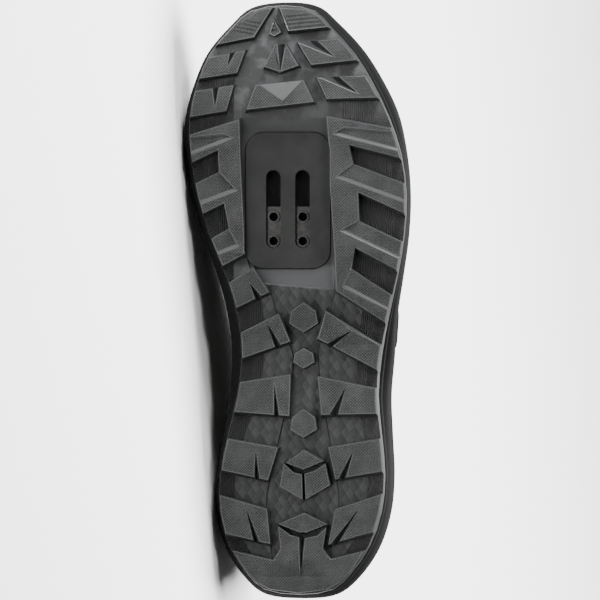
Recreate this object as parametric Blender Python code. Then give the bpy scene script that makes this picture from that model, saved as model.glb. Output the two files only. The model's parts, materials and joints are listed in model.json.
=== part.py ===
"""Left cycling shoe with a lugged rubber sole, lying on its medial side.

The shoe is modelled standing, in its own axes: X runs from the heel to the toe,
Y to the lateral (little toe) side and Z up, with the floor under the tread at 0.
At the end it is laid on its side, where sole edge and upper carry it, so that
the sole looks towards -Y and the toe points to -X. Metres throughout.
"""

import math
from collections import namedtuple

import bmesh
import bpy
import numpy as np
from mathutils import Matrix, Vector

# Driving sizes of the sole
LENGTH = 0.287
BALL_WIDTH = 0.102
BALL_STACK = 0.017
HEEL_STACK = 0.026
TOE_SPRING = 0.020
ARCH_RISE = 0.005
HEEL_BEVEL = 0.003
SIDE_FLARE = 0.006
RIM_HEIGHT = 0.005
RIM_WALL = 0.0026

# Driving sizes of the tread
LUG_DEPTH = 0.0045
LUG_DRAFT = 0.0005
REAR_DRAFT = 0.0018
LUG_INSET = 0.0007
BASE_THICKNESS = 0.0025
LUG_ROOT = 0.0016
CHANNEL_DEPTH = 0.001
CHANNEL_WALL = 0.0006

# Driving sizes of the cleat fixing. Its place is a share of the length from the heel
# and a share of the ball width from the axis.
PLATE_AT = 0.666
PLATE_ACROSS = -0.0615
PLATE_LENGTH = 0.065
PLATE_WIDTH = 0.0405
PLATE_CORNER = 0.0085
PLATE_THICKNESS = 0.003
PLATE_RECESS = 0.0004
SLOT_LENGTH = 0.0375
SLOT_WIDTH = 0.007
SLOT_END = 0.499
SLOT_SETBACK = 0.0042
BOLT_SPACING = 0.014
BOLT_ROW_SPACING = 0.0116
NUT_PLATE_LENGTH = 0.0215
NUT_PLATE_WIDTH = 0.024
NUT_PLATE_THICKNESS = 0.0022
NUT_BOSS_RADIUS = 0.0029
NUT_BOSS_HEIGHT = 0.0016
NUT_HOLE_RADIUS = 0.0021

# Driving sizes of the upper and what lies in and on it
INSTEP_HEIGHT = 0.110
UPPER_WALL = 0.0024
COLLAR_PAD = 0.004
INSOLE_THICKNESS = 0.004
TONGUE_THICKNESS = 0.004
TONGUE_EDGE = 0.0018
TONGUE_CLEARANCE = 0.0014
TONGUE_TOP = 0.026
STRAP_THICKNESS = 0.0016
STRAP_CLEARANCE = 0.001
STRAP_WIDTH = 0.022

# The gap between pieces that touch
SEAM = 0.0003

# How finely curves are drawn
SPAN_STEPS = 2
WALL_STEPS = 8
BRIDGE_STEPS = 6
CORNER_STEPS = 5
BOSS_STEPS = 16

# Where the tread leaves the floor, as shares of the length from the heel
HEEL_BREAK = 0.07
ARCH_REAR = 0.24
ARCH_FRONT = 0.60
TOE_BREAK = 0.73
STACK_REAR = 0.25
STACK_FRONT = 0.62

# Stations at which a long lug folds to follow the tread's curve
CREASES = [0.035, HEEL_BREAK, ARCH_REAR, 0.31, 0.36, 0.42, 0.48, 0.54, ARCH_FRONT]
CREASES += [TOE_BREAK, 0.79, 0.84, 0.88, 0.92, 0.96]

# Outline of the tread at stations from heel to toe. "at" is a share of the length.
# medial and lateral are the tread's edges, as shares of the ball width from the axis.
# The flares say how far the sidewall stands outside them, as shares of SIDE_FLARE.
Outline = namedtuple("Outline", "at medial lateral medial_flare lateral_flare")
HEEL_END = Outline(0.009, 0.009, -0.009, 0.38, 0.38)
TOE_END = Outline(0.993, 0.089, -0.089, 0.32, 0.32)
OUTLINE = [
    Outline(0.018, 0.174, 0.151, 0.45, 0.52),
    Outline(0.044, 0.254, 0.231, 0.50, 0.66),
    Outline(0.090, 0.337, 0.320, 0.50, 0.68),
    Outline(0.148, 0.381, 0.377, 0.45, 0.62),
    Outline(0.207, 0.380, 0.393, 0.42, 0.60),
    Outline(0.274, 0.344, 0.377, 0.50, 0.74),
    Outline(0.341, 0.301, 0.357, 0.78, 0.98),
    Outline(0.408, 0.281, 0.372, 0.95, 1.00),
    Outline(0.475, 0.301, 0.409, 0.92, 0.62),
    Outline(0.542, 0.355, 0.454, 0.76, 0.36),
    Outline(0.609, 0.432, 0.487, 0.62, 0.24),
    Outline(0.676, 0.488, 0.496, 0.57, 0.22),
    Outline(0.743, 0.520, 0.471, 0.60, 0.38),
    Outline(0.805, 0.525, 0.410, 0.46, 0.76),
    Outline(0.860, 0.494, 0.334, 0.34, 0.78),
    Outline(0.910, 0.439, 0.247, 0.30, 0.70),
    Outline(0.956, 0.336, 0.129, 0.30, 0.64),
    Outline(0.984, 0.249, 0.052, 0.31, 0.44),
]

# The midsole's side in section: share of its height, share of the flare.
# The step at the middle is the groove that runs round the shoe.
Side = namedtuple("Side", "up out")
SIDE_PROFILE = [
    Side(0.00, 0.10),
    Side(0.10, 0.30),
    Side(0.22, 0.82),
    Side(0.46, 1.00),
    Side(0.52, 0.86),
    Side(0.60, 0.86),
    Side(0.66, 0.98),
    Side(0.90, 0.92),
    Side(1.00, 0.72),
]

# The sunk channel down the middle of the tread, with the cleat pocket as its front end.
# medial and lateral are its edges from the axis, as shares of the ball width.
Channel = namedtuple("Channel", "at medial lateral depth")
CHANNEL = [
    Channel(0.060, -0.130, 0.130, 0.0),
    Channel(0.095, -0.145, 0.150, 0.8),
    Channel(0.165, -0.165, 0.184, 0.8),
    Channel(0.260, -0.110, 0.142, 0.8),
    Channel(0.380, -0.042, 0.085, 0.8),
    Channel(0.425, -0.052, 0.085, 0.8),
    Channel(0.480, -0.122, 0.132, 0.8),
    Channel(0.515, -0.150, 0.163, 0.8),
    Channel(0.530, -0.200, 0.165, 0.2),
    Channel(0.560, -0.262, 0.160, 1.0),
    Channel(0.770, -0.285, 0.128, 1.0),
    Channel(0.812, -0.285, 0.122, 0.0),
]

# Side lugs: the pair at the toe, the forefoot's, then those behind the cleat pocket, all
# from the front backwards. edge_front and edge_rear are their ends on the tread's edge, as
# shares of the length. Each tip is (at, across) and so is the notch's point, across as a
# share of the ball width. The notch opens through the front or rear edge, its middle
# "mouth" of the way from tip to edge, and gapes there by so many times NOTCH_WIDTH.
Lug = namedtuple("Lug", "side edge_front edge_rear tip_front tip_rear notch opens mouth gape")
LATERAL, MEDIAL = 1, -1
LUGS = [
    Lug(LATERAL, 0.986, 0.956, (0.988, -0.112), (0.949, -0.066), None, "", 0, 0),
    Lug(MEDIAL, 0.986, 0.927, (0.988, -0.146), (0.939, -0.226), None, "", 0, 0),
    Lug(LATERAL, 0.936, 0.900, (0.929, -0.019), (0.892, 0.047), (0.903, 0.165), "front", 0.26, 4.2),
    Lug(LATERAL, 0.874, 0.837, (0.870, 0.075), (0.835, 0.122), (0.841, 0.282), "front", 0.27, 4.2),
    Lug(MEDIAL, 0.904, 0.869, (0.917, -0.264), (0.879, -0.301), (0.887, -0.350), "front", 0.34, 1.4),
    Lug(MEDIAL, 0.848, 0.805, (0.858, -0.315), (0.815, -0.348), (0.818, -0.402), "front", 0.47, 1.4),
    Lug(LATERAL, 0.425, 0.384, (0.482, 0.118), (0.436, 0.080), (0.449, 0.239), "rear", 0.21, 1.4),
    Lug(LATERAL, 0.353, 0.311, (0.373, 0.080), (0.309, 0.098), (0.359, 0.216), "rear", 0.23, 2.0),
    Lug(LATERAL, 0.269, 0.215, (0.255, 0.132), (0.202, 0.165), (0.254, 0.255), "rear", 0.15, 1.8),
    Lug(LATERAL, 0.177, 0.115, (0.152, 0.165), (0.093, 0.132), (0.159, 0.287), "rear", 0.16, 2.2),
    Lug(MEDIAL, 0.529, 0.487, (0.554, -0.221), (0.513, -0.148), (0.532, -0.243), "rear", 0.33, 1.6),
    Lug(MEDIAL, 0.446, 0.403, (0.477, -0.104), (0.431, -0.050), (0.459, -0.155), "rear", 0.26, 1.5),
    Lug(MEDIAL, 0.363, 0.314, (0.376, -0.047), (0.307, -0.052), (0.368, -0.126), "rear", 0.23, 1.2),
    Lug(MEDIAL, 0.269, 0.217, (0.254, -0.104), (0.200, -0.150), (0.254, -0.209), "rear", 0.24, 1.2),
    Lug(MEDIAL, 0.175, 0.111, (0.152, -0.155), (0.094, -0.140), (0.159, -0.259), "rear", 0.31, 1.5),
]
# Where a lug's corner is sharper than this, its root isn't drawn out to a point.
SHARPEST_MITRE = 0.5
# Two sides whose directions have a cosine above this are taken as one line.
STRAIGHT = 0.98
NOTCH_WIDTH = 0.0022
# A notch is a wedge with its bottom edge nearer one wall, and it starts just off the face.
NOTCH_FLOOR = 0.62
NOTCH_OVERRUN = 1.15
NOTCH_LEAD = 0.0003
# Notches in the lugs on the centre line: point and mouth corners as (at, across), and their
# depth at the mouth as a share of the lugs' depth.
Notch = namedtuple("Notch", "tip mouth_medial mouth_lateral depth")
CENTRE_NOTCHES = {
    "wedge": Notch((0.830, -0.086), (0.860, -0.209), (0.866, 0.009), 0.55),
    "arrow": Notch((0.880, -0.097), (0.926, -0.115), (0.926, -0.077), 0.95),
    "heel_block": Notch((0.040, 0.001), (0.104, -0.005), (0.104, 0.023), 0.95),
}

# The channel keeps this share of the tread's width from its edges.
CHANNEL_MARGIN = 0.15

# The rails beside the cleat pocket: a spine along the pocket with arms to the tread's edge.
# The spine is a row of (at, across) points from front to rear.
# An arm leaves the spine between its root points and meets the edge between its shares.
Arm = namedtuple("Arm", "root_front edge_front edge_rear root_rear")
LATERAL_SPINE = [(0.806, 0.124), (0.751, 0.136), (0.684, 0.141), (0.584, 0.160), (0.515, 0.169)]
LATERAL_ARMS = [
    Arm(None, 0.786, 0.736, (0.758, 0.231)),
    Arm((0.726, 0.249), 0.694, 0.644, (0.679, 0.273)),
    Arm((0.631, 0.278), 0.597, 0.550, (0.587, 0.259)),
    Arm((0.552, 0.240), 0.508, 0.463, None),
]
MEDIAL_SPINE = [(0.801, -0.287), (0.718, -0.278), (0.617, -0.264), (0.577, -0.259)]
MEDIAL_ARMS = [
    Arm(None, 0.775, 0.729, (0.750, -0.386)),
    Arm((0.713, -0.381), 0.694, 0.644, (0.661, -0.358)),
    Arm((0.619, -0.334), 0.602, 0.557, None),
]

# Lugs on the centre line, pointed towards toe and heel.
# half_long is a share of the length, half_wide and across shares of the ball width.
# front and rear are the shares of half_long at which the side corners stand.
Centre = namedtuple("Centre", "at across half_long half_wide front rear")
CENTRE_LUGS = {
    "hexagon_front": Centre(0.471, 0.013, 0.025, 0.067, 0.42, 0.40),
    "hexagon_middle": Centre(0.403, 0.014, 0.017, 0.050, 0.48, 0.40),
    "hexagon_rear": Centre(0.295, 0.016, 0.024, 0.062, 0.40, 0.45),
}
# Their front corners stand in from their rear ones by this share.
HEXAGON_FRONT = 0.86
# Other lugs on the centre line, as corners (at, across). The cube is in three pieces.
CORNERED_LUGS = {
    "dart": [(0.969, -0.136), (0.947, -0.099), (0.940, -0.132), (0.945, -0.155)],
    "arrow": [(0.927, -0.127), (0.927, -0.075), (0.891, -0.012), (0.880, -0.099), (0.889, -0.173)],
    "wedge": [(0.858, -0.213), (0.866, 0.014), (0.830, 0.064), (0.817, -0.254)],
    "cube_top": [(0.251, 0.018), (0.232, 0.110), (0.218, 0.016), (0.229, -0.068)],
    "cube_lateral": [(0.228, 0.119), (0.192, 0.141), (0.168, 0.026), (0.211, 0.021), (0.216, 0.070)],
    "cube_medial": [(0.228, -0.075), (0.213, -0.030), (0.210, 0.009), (0.168, 0.012), (0.190, -0.096)],
    "diamond": [(0.146, 0.018), (0.127, 0.127), (0.111, 0.016), (0.127, -0.101)],
}
# Those of them whose rear wall slopes as the side lugs' do
SLOPING_LUGS = ("arrow", "wedge")
# The heel block's front edge from the lateral to the medial side, as (at, across).
HEEL_BLOCK_SIDE = 0.083
HEEL_BLOCK_FRONT = [
    (0.069, 0.144),
    (0.086, 0.107),
    (0.122, 0.124),
    (0.108, 0.080),
    (0.103, 0.016),
    (0.109, -0.045),
    (0.124, -0.103),
    (0.086, -0.092),
    (0.067, -0.127),
]
HEEL_BLOCK_BACK = [0.050, 0.030, 0.018]

# The upper's wall at stations of the outline, from heel to toe. top_at, top_half and
# top_height place its top edge: shares of the length, the ball width and the instep height.
# belly is how far the wall swells past the sole's rim, as a share of the ball width.
# brow is the angle at which the wall reaches the top edge, in degrees from level.
Wall = namedtuple("Wall", "at top_at top_half top_height belly brow")
UPPER = [
    Wall(0.009, 0.036, 0.000, 0.905, 0.034, 92),
    Wall(0.018, 0.039, 0.080, 0.904, 0.034, 92),
    Wall(0.044, 0.050, 0.165, 0.896, 0.036, 90),
    Wall(0.090, 0.084, 0.248, 0.862, 0.036, 86),
    Wall(0.148, 0.140, 0.304, 0.806, 0.034, 82),
    Wall(0.207, 0.202, 0.326, 0.768, 0.036, 78),
    Wall(0.274, 0.272, 0.322, 0.770, 0.040, 74),
    Wall(0.341, 0.338, 0.298, 0.832, 0.046, 68),
    Wall(0.408, 0.402, 0.258, 0.940, 0.050, 60),
    Wall(0.475, 0.460, 0.208, 0.965, 0.044, 46),
    Wall(0.542, 0.524, 0.180, 0.885, 0.038, 36),
    Wall(0.609, 0.588, 0.165, 0.805, 0.034, 30),
    Wall(0.676, 0.650, 0.150, 0.740, 0.032, 24),
    Wall(0.743, 0.700, 0.122, 0.694, 0.032, 16),
    Wall(0.805, 0.734, 0.070, 0.664, 0.034, 8),
    Wall(0.860, 0.752, 0.000, 0.650, 0.036, 2),
    Wall(0.910, 0.800, 0.000, 0.626, 0.038, 0),
    Wall(0.956, 0.846, 0.000, 0.604, 0.040, 0),
    Wall(0.984, 0.884, 0.000, 0.586, 0.040, 0),
    Wall(0.993, 0.898, 0.000, 0.578, 0.040, 0),
]
# From VAMP_FRONT on, the walls of both sides meet on the ridge.
VAMP_FRONT = 0.845
WALL_LIFT = 0.48
BROW_REACH = 0.40
# How far a line over the throat keeps the walls' slope, as a share of the gap.
BRIDGE_REACH = 0.36
# The ridge of the upper bends towards the big toe: across as a share of the ball width.
Ridge = namedtuple("Ridge", "at across")
RIDGE = [
    Ridge(0.00, -0.005),
    Ridge(0.40, -0.035),
    Ridge(0.70, -0.060),
    Ridge(0.90, -0.080),
    Ridge(1.00, -0.089),
]
# The collar's padding fades in from the throat to the ankle.
PAD_FRONT = 0.36
PAD_FULL = 0.26
PAD_LOW = 0.55

# Straps: the stations of their middle on each wall, their width as a share of STRAP_WIDTH,
# and how far down each wall they reach, 0 at the sole's rim and 1 at the top edge.
Strap = namedtuple("Strap", "lateral_at medial_at width lateral_end medial_end")
STRAPS = {
    "strap_instep": Strap(0.455, 0.487, 1.00, 0.44, 0.42),
    "strap_middle": Strap(0.568, 0.592, 0.85, 0.52, 0.48),
    "strap_front": Strap(0.660, 0.680, 0.75, 0.58, 0.54),
}
STRAP_ROWS = 3
STRAP_STEPS = 22
# The straps round off over STRAP_NOSE of their length, down to STRAP_TIP of their width.
STRAP_NOSE = 0.10
STRAP_TIP = 0.55

# The tongue, from under the vamp to above the throat
TONGUE_FRONT = 0.890
TONGUE_REAR = 0.422
TONGUE_ROWS = 14
TONGUE_TOP_ROWS = 3
TONGUE_UNDER = 0.80
TONGUE_UNDER_REAR = 0.95
TONGUE_NARROWS = 0.54
TONGUE_TOP_NARROWING = 0.25
TONGUE_TAPER = 0.25
TONGUE_LEAN = math.radians(46)
# The padding fades in from the ends over TONGUE_END of the rows, not quite from nothing.
TONGUE_END = 0.12
TONGUE_END_LEAD = 0.05

# Principled values of each material: colour, roughness, metallic
MATERIALS = {
    "tread_rubber": ((0.085, 0.088, 0.090), 0.62, 0.0),
    "side_foam": ((0.060, 0.061, 0.065), 0.55, 0.0),
    "plate_nylon": ((0.045, 0.045, 0.048), 0.38, 0.0),
    "nut_steel": ((0.060, 0.060, 0.060), 0.35, 0.9),
    "upper_synthetic": ((0.030, 0.031, 0.033), 0.55, 0.0),
    "lining_mesh": ((0.020, 0.020, 0.021), 0.90, 0.0),
    "tongue_mesh": ((0.020, 0.020, 0.021), 0.85, 0.0),
    "strap_webbing": ((0.018, 0.018, 0.019), 0.60, 0.0),
}


def ramp(value, start, end):
    """0 at start, 1 at end and straight between, held outside them."""
    return min(1.0, max(0.0, (value - start) / (end - start)))


def ease(value, start, end):
    """As ramp, but leaving and arriving level."""
    share = ramp(value, start, end)
    return share * share * (3 - 2 * share)


def between(rows, at, column):
    """A column of a table of rows, at a station between them, on a smooth curve."""
    stations = [row.at for row in rows]
    values = [getattr(row, column) for row in rows]
    at = min(max(at, stations[0]), stations[-1])
    i = min(max(np.searchsorted(stations, at) - 1, 0), len(rows) - 2)
    width = stations[i + 1] - stations[i]
    slopes = []
    for k in (i, i + 1):
        low, high = max(k - 1, 0), min(k + 1, len(rows) - 1)
        slopes.append((values[high] - values[low]) / (stations[high] - stations[low]))
    s = (at - stations[i]) / width
    steady = (1 + 2 * s) * (1 - s) ** 2 * values[i] + s * s * (3 - 2 * s) * values[i + 1]
    leaning = s * (1 - s) ** 2 * width * slopes[0] + s * s * (s - 1) * width * slopes[1]
    return steady + leaning


def tread_height(at):
    """Height of the lug faces above the floor: flat under heel and ball."""
    toe = TOE_SPRING * ramp(at, TOE_BREAK, 1) ** 2
    heel = HEEL_BEVEL * ramp(at, HEEL_BREAK, 0) ** 2
    arch = ARCH_RISE * math.sin(math.pi * ramp(at, ARCH_REAR, ARCH_FRONT)) ** 2
    return toe + heel + arch


def base_height(at):
    """Height of the rubber between the lugs."""
    return tread_height(at) + LUG_DEPTH


def footbed_height(at):
    """Height of the floor inside the cup of the midsole."""
    stack = BALL_STACK + (HEEL_STACK - BALL_STACK) * (1 - ease(at, STACK_REAR, STACK_FRONT))
    return stack + TOE_SPRING * ramp(at, TOE_BREAK, 1) ** 2


def rim_height(at):
    return footbed_height(at) + RIM_HEIGHT


def loop_controls():
    """The tread's outline as a loop of (x, y, flare): heel, lateral side, toe, medial side."""
    heel = [(HEEL_END.at * LENGTH, HEEL_END.lateral * BALL_WIDTH, HEEL_END.lateral_flare)]
    toe = [(TOE_END.at * LENGTH, TOE_END.lateral * BALL_WIDTH, TOE_END.lateral_flare)]
    lateral = [(row.at * LENGTH, row.lateral * BALL_WIDTH, row.lateral_flare) for row in OUTLINE]
    medial = [(row.at * LENGTH, -row.medial * BALL_WIDTH, row.medial_flare) for row in OUTLINE]
    return np.array(heel + lateral + toe + medial[::-1])


def smooth_loop(controls, steps):
    """A closed centripetal curve through the controls, with steps points to a span."""
    count = len(controls)
    points = []
    for i in range(count):
        p = [controls[(i + k) % count] for k in (-1, 0, 1, 2)]
        knots = [0.0]
        for k in range(3):
            knots.append(knots[-1] + math.sqrt(np.linalg.norm((p[k + 1] - p[k])[:2])))
        for step in range(steps):
            t = knots[1] + (knots[2] - knots[1]) * step / steps
            points.append(on_span(p, knots, t))
    return np.array(points)


def on_span(p, knots, t):
    """The point at knot value t between the second and third of four controls."""
    a = [
        p[k] * (knots[k + 1] - t) / (knots[k + 1] - knots[k])
        + p[k + 1] * (t - knots[k]) / (knots[k + 1] - knots[k])
        for k in range(3)
    ]
    b = [
        a[k] * (knots[k + 2] - t) / (knots[k + 2] - knots[k])
        + a[k + 1] * (t - knots[k]) / (knots[k + 2] - knots[k])
        for k in range(2)
    ]
    return b[0] * (knots[2] - t) / (knots[2] - knots[1]) + b[1] * (t - knots[1]) / (knots[2] - knots[1])


LOOP = smooth_loop(loop_controls(), SPAN_STEPS)
COUNT = len(LOOP)
TOE_INDEX = COUNT // 2


def loop_normals():
    """The outward direction in plan at each point of the loop."""
    along = np.roll(LOOP[:, :2], -1, axis=0) - np.roll(LOOP[:, :2], 1, axis=0)
    outward = np.stack([-along[:, 1], along[:, 0]], axis=1)
    return outward / np.linalg.norm(outward, axis=1)[:, None]


NORMALS = loop_normals()


def ring(flare_share, offset, height):
    """The outline moved out by a share of its flare and by offset, at height(at)."""
    out = LOOP[:, 2] * SIDE_FLARE * flare_share + offset
    plan = LOOP[:, :2] + NORMALS * out[:, None]
    return [Vector((x, y, height(x / LENGTH))) for x, y in plan]


def edge_point(side, at, inset=LUG_INSET):
    """The point of the tread's edge on one side at a station, moved in by inset."""
    indices = [side * k % COUNT for k in range(TOE_INDEX + 1)]
    plan = np.array([LOOP[k, :2] - NORMALS[k] * inset for k in indices])
    return (at * LENGTH, float(np.interp(at * LENGTH, plan[:, 0], plan[:, 1])))


def plan_point(at, across):
    return (at * LENGTH, across * BALL_WIDTH)


def material(name):
    """The named material, made once, from the table of Principled values."""
    if name in bpy.data.materials:
        return bpy.data.materials[name]
    colour, roughness, metallic = MATERIALS[name]
    made = bpy.data.materials.new(name)
    made.use_nodes = True
    shader = made.node_tree.nodes["Principled BSDF"]
    shader.inputs["Base Color"].default_value = (*colour, 1)
    shader.inputs["Roughness"].default_value = roughness
    shader.inputs["Metallic"].default_value = metallic
    made.diffuse_color = (*colour, 1)
    return made


def make_object(name, points, faces, material_name):
    """A mesh object from points and faces, its faces turned outwards."""
    mesh = bpy.data.meshes.new(name)
    mesh.from_pydata([tuple(p) for p in points], [], faces)
    work = bmesh.new()
    work.from_mesh(mesh)
    bpy.data.meshes.remove(mesh)
    return object_from(name, work, material_name)


def object_from(name, work, material_name):
    """A triangulated object from a bmesh, which is freed."""
    mesh = bpy.data.meshes.new(name)
    bmesh.ops.triangulate(work, faces=work.faces)
    bmesh.ops.recalc_face_normals(work, faces=work.faces)
    work.to_mesh(mesh)
    work.free()
    mesh.materials.append(material(material_name))
    made = bpy.data.objects.new(name, mesh)
    bpy.context.scene.collection.objects.link(made)
    return made


def as_helper(helper):
    helper.hide_render = True
    helper.display_type = "WIRE"
    return helper


def boolean(target, helper, operation, overlapping=False):
    """Cuts or joins a helper, whose own pieces may overlap one another."""
    modifier = target.modifiers.new(helper.name, "BOOLEAN")
    modifier.use_self = overlapping
    modifier.object = as_helper(helper)
    modifier.operation = operation
    modifier.solver = "EXACT"


class Shell:
    """Points and faces collected ring by ring."""

    def __init__(self):
        self.points = []
        self.faces = []

    def add(self, points):
        first = len(self.points)
        self.points.extend(points)
        return list(range(first, len(self.points)))

    def band(self, low, high, closed=True):
        """Quads between two rows of the same count."""
        last = len(low) if closed else len(low) - 1
        for i in range(last):
            j = (i + 1) % len(low)
            self.faces.append((low[i], low[j], high[j], high[i]))

    def fan(self, tip, row):
        """Triangles from a tip to a row."""
        self.faces.extend((tip, a, b) for a, b in zip(row, row[1:]))

    def ladder(self, loop):
        """A cap across a loop, each rung from the lateral to the medial side."""
        half = len(loop) // 2
        self.faces.append((loop[0], loop[1], loop[-1]))
        for i in range(1, half - 1):
            self.faces.append((loop[i], loop[i + 1], loop[-i - 1]))
            self.faces.append((loop[i], loop[-i - 1], loop[-i]))
        self.faces.append((loop[half - 1], loop[half], loop[half + 1]))


def thicken(shell, depth):
    """Closes an open sheet into a wall: depth(i) below each of its points."""
    work = bmesh.new()
    points = [work.verts.new(p) for p in shell.points]
    for face in shell.faces:
        work.faces.new([points[i] for i in face])
    work.normal_update()
    normals = [v.normal.copy() for v in work.verts]
    work.free()
    count = len(shell.points)
    shell.points = shell.points + [p - normals[i] * depth(i) for i, p in enumerate(shell.points)]
    used = {}
    for face in shell.faces:
        for a, b in zip(face, face[1:] + face[:1]):
            used[(a, b)] = True
    rims = [(a, b) for a, b in used if (b, a) not in used]
    inner = [tuple(i + count for i in reversed(face)) for face in shell.faces]
    shell.faces = shell.faces + inner + [(b, a, a + count, b + count) for a, b in rims]


def midsole():
    """The cup that carries the upper: grooved side, rim and footbed."""
    shell = Shell()

    def height_of(up):
        def height(at):
            bottom = base_height(at) + BASE_THICKNESS + SEAM
            return bottom + (rim_height(at) - bottom) * up

        return height

    rings = [shell.add(ring(row.out, 0, height_of(row.up))) for row in SIDE_PROFILE]
    top = SIDE_PROFILE[-1].out
    rings.append(shell.add(ring(top, -RIM_WALL, rim_height)))
    rings.append(shell.add(ring(top, -RIM_WALL, footbed_height)))
    for low, high in zip(rings, rings[1:]):
        shell.band(low, high)
    shell.ladder(rings[0])
    shell.ladder(rings[-1])
    made = make_object("midsole", shell.points, shell.faces, "side_foam")
    recess_top = plate_face_height() + PLATE_THICKNESS + SEAM + NUT_PLATE_THICKNESS + SEAM
    boolean(made, plate_prism("midsole_recess", SEAM, 0, recess_top), "DIFFERENCE")
    return made


def channel_edges(at, medial_edge, lateral_edge):
    """The channel's edges and depth at a station, kept inside the tread's edges."""
    margin = CHANNEL_MARGIN * (lateral_edge - medial_edge)
    medial = max(between(CHANNEL, at, "medial") * BALL_WIDTH, medial_edge + margin)
    lateral = min(between(CHANNEL, at, "lateral") * BALL_WIDTH, lateral_edge - margin)
    inside = CHANNEL[0].at <= at <= CHANNEL[-1].at
    depth = CHANNEL_DEPTH * float(np.interp(at, [r.at for r in CHANNEL], [r.depth for r in CHANNEL]))
    return medial, lateral, depth if inside else 0.0


def tread_base():
    """The rubber sheet that carries the lugs, with the channel sunk into it."""
    shell = Shell()
    edge = shell.add(ring(0, -SEAM, base_height))
    top = shell.add(ring(SIDE_PROFILE[0].out, 0, lambda at: base_height(at) + BASE_THICKNESS))
    shell.band(edge, top)
    shell.ladder(top)
    rows = []
    for i in range(1, TOE_INDEX):
        lateral_edge, medial_edge = shell.points[edge[i]], shell.points[edge[-i]]
        at = (lateral_edge.x + medial_edge.x) / 2 / LENGTH
        medial, lateral, depth = channel_edges(at, medial_edge.y, lateral_edge.y)
        x, low = at * LENGTH, base_height(at)
        wall = min(CHANNEL_WALL, (lateral - medial) / 4)
        inner = [
            Vector((x, lateral, low)),
            Vector((x, lateral - wall, low + depth)),
            Vector((x, medial + wall, low + depth)),
            Vector((x, medial, low)),
        ]
        rows.append([edge[i], *shell.add(inner), edge[-i]])
    for row, following in zip(rows, rows[1:]):
        shell.band(row, following, closed=False)
    shell.fan(edge[0], rows[0])
    shell.fan(edge[TOE_INDEX], rows[-1][::-1])
    return make_object("outsole", shell.points, shell.faces, "tread_rubber")


def area_of(corners):
    """Signed area of a polygon in plan, positive when it runs anticlockwise."""
    return sum(a[0] * b[1] - b[0] * a[1] for a, b in zip(corners, corners[1:] + corners[:1])) / 2


def grown(corners, distance, rear_distance):
    """The polygon moved out by distance, and towards the heel by rear_distance."""
    moved = []
    for i, corner in enumerate(corners):
        before, after = Vector(corners[i - 1]), Vector(corners[(i + 1) % len(corners)])
        here = Vector(corner)
        sides = [(here - before).normalized(), (after - here).normalized()]
        outs = [Vector((side.y, -side.x)) for side in sides]
        reach = [distance + (rear_distance - distance) * max(0.0, -out.x) for out in outs]
        turn = outs[0].dot(outs[1])
        first = outs[0] * (reach[0] - reach[1] * turn)
        second = outs[1] * (reach[1] - reach[0] * turn)
        if turn > STRAIGHT:
            moved.append(here + (outs[0] * reach[0] + outs[1] * reach[1]) / 2)
        else:
            moved.append(here + (first + second) / max(1 - turn * turn, SHARPEST_MITRE))
    return moved


def add_lug(shell, corners, rear_draft=LUG_DRAFT):
    """A tapered block in plan, from its face at height 0 to its root at height 1."""
    if area_of(corners) < 0:
        corners = corners[::-1]
    low = shell.add([Vector((x, y, 0)) for x, y in corners])
    high = shell.add([Vector((p.x, p.y, 1)) for p in grown(corners, LUG_DRAFT, rear_draft)])
    shell.band(low, high)
    shell.faces += [tuple(low), tuple(high)]


def laid_on_tread(shell, name):
    """The blocks creased at the tread's stations and bent on to its curve."""
    work = bmesh.new()
    points = [work.verts.new(p) for p in shell.points]
    for face in shell.faces:
        work.faces.new([points[i] for i in face])
    for at in CREASES:
        everything = list(work.verts) + list(work.edges) + list(work.faces)
        crease = Vector((at * LENGTH, 0, 0))
        bmesh.ops.bisect_plane(work, geom=everything, dist=1e-7, plane_co=crease, plane_no=(1, 0, 0))
    for v in work.verts:
        at = v.co.x / LENGTH
        root = base_height(at) + LUG_ROOT
        v.co.z = tread_height(at) * (1 - v.co.z) + root * v.co.z
    return object_from(name, work, "tread_rubber")


def side_lug_corners(lug):
    """Corners of a side lug: along the tread's edge and back by its two tips."""
    shares = [lug.edge_front + (lug.edge_rear - lug.edge_front) * k / 2 for k in range(3)]
    edge = [edge_point(lug.side, at) for at in shares]
    return edge + [plan_point(*lug.tip_rear), plan_point(*lug.tip_front)]


def side_lug_notch(lug):
    """Point and mouth corners of a side lug's notch."""
    corners = [Vector(c) for c in side_lug_corners(lug)]
    start, end = (corners[4], corners[0]) if lug.opens == "front" else (corners[3], corners[2])
    middle = start + (end - start) * lug.mouth
    half = (end - start).normalized() * NOTCH_WIDTH * lug.gape / 2
    return Vector(plan_point(*lug.notch)), middle - half, middle + half


def add_notch(shell, tip, first, second, depth):
    """A wedge that starts at its point on the face and is deepest at its mouth."""
    first, second = (tip + (corner - tip) * NOTCH_OVERRUN for corner in (first, second))
    floor = first + (second - first) * NOTCH_FLOOR

    def off_face(p):
        return Vector((p.x, p.y, tread_height(p.x / LENGTH) - NOTCH_LEAD))

    bottom = Vector((floor.x, floor.y, tread_height(floor.x / LENGTH) + LUG_DEPTH * depth))
    a, b, c, d = shell.add([off_face(tip), off_face(first), off_face(second), bottom])
    shell.faces += [(a, b, c), (a, c, d), (a, d, b), (b, d, c)]


def notches():
    """The wedges that are cut from the lugs."""
    shell = Shell()
    for lug in LUGS:
        if lug.notch:
            add_notch(shell, *side_lug_notch(lug), 1)
    for row in CENTRE_NOTCHES.values():
        corners = [Vector(plan_point(*p)) for p in (row.tip, row.mouth_medial, row.mouth_lateral)]
        add_notch(shell, *corners, row.depth)
    return make_object("notches", shell.points, shell.faces, "tread_rubber")


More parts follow.
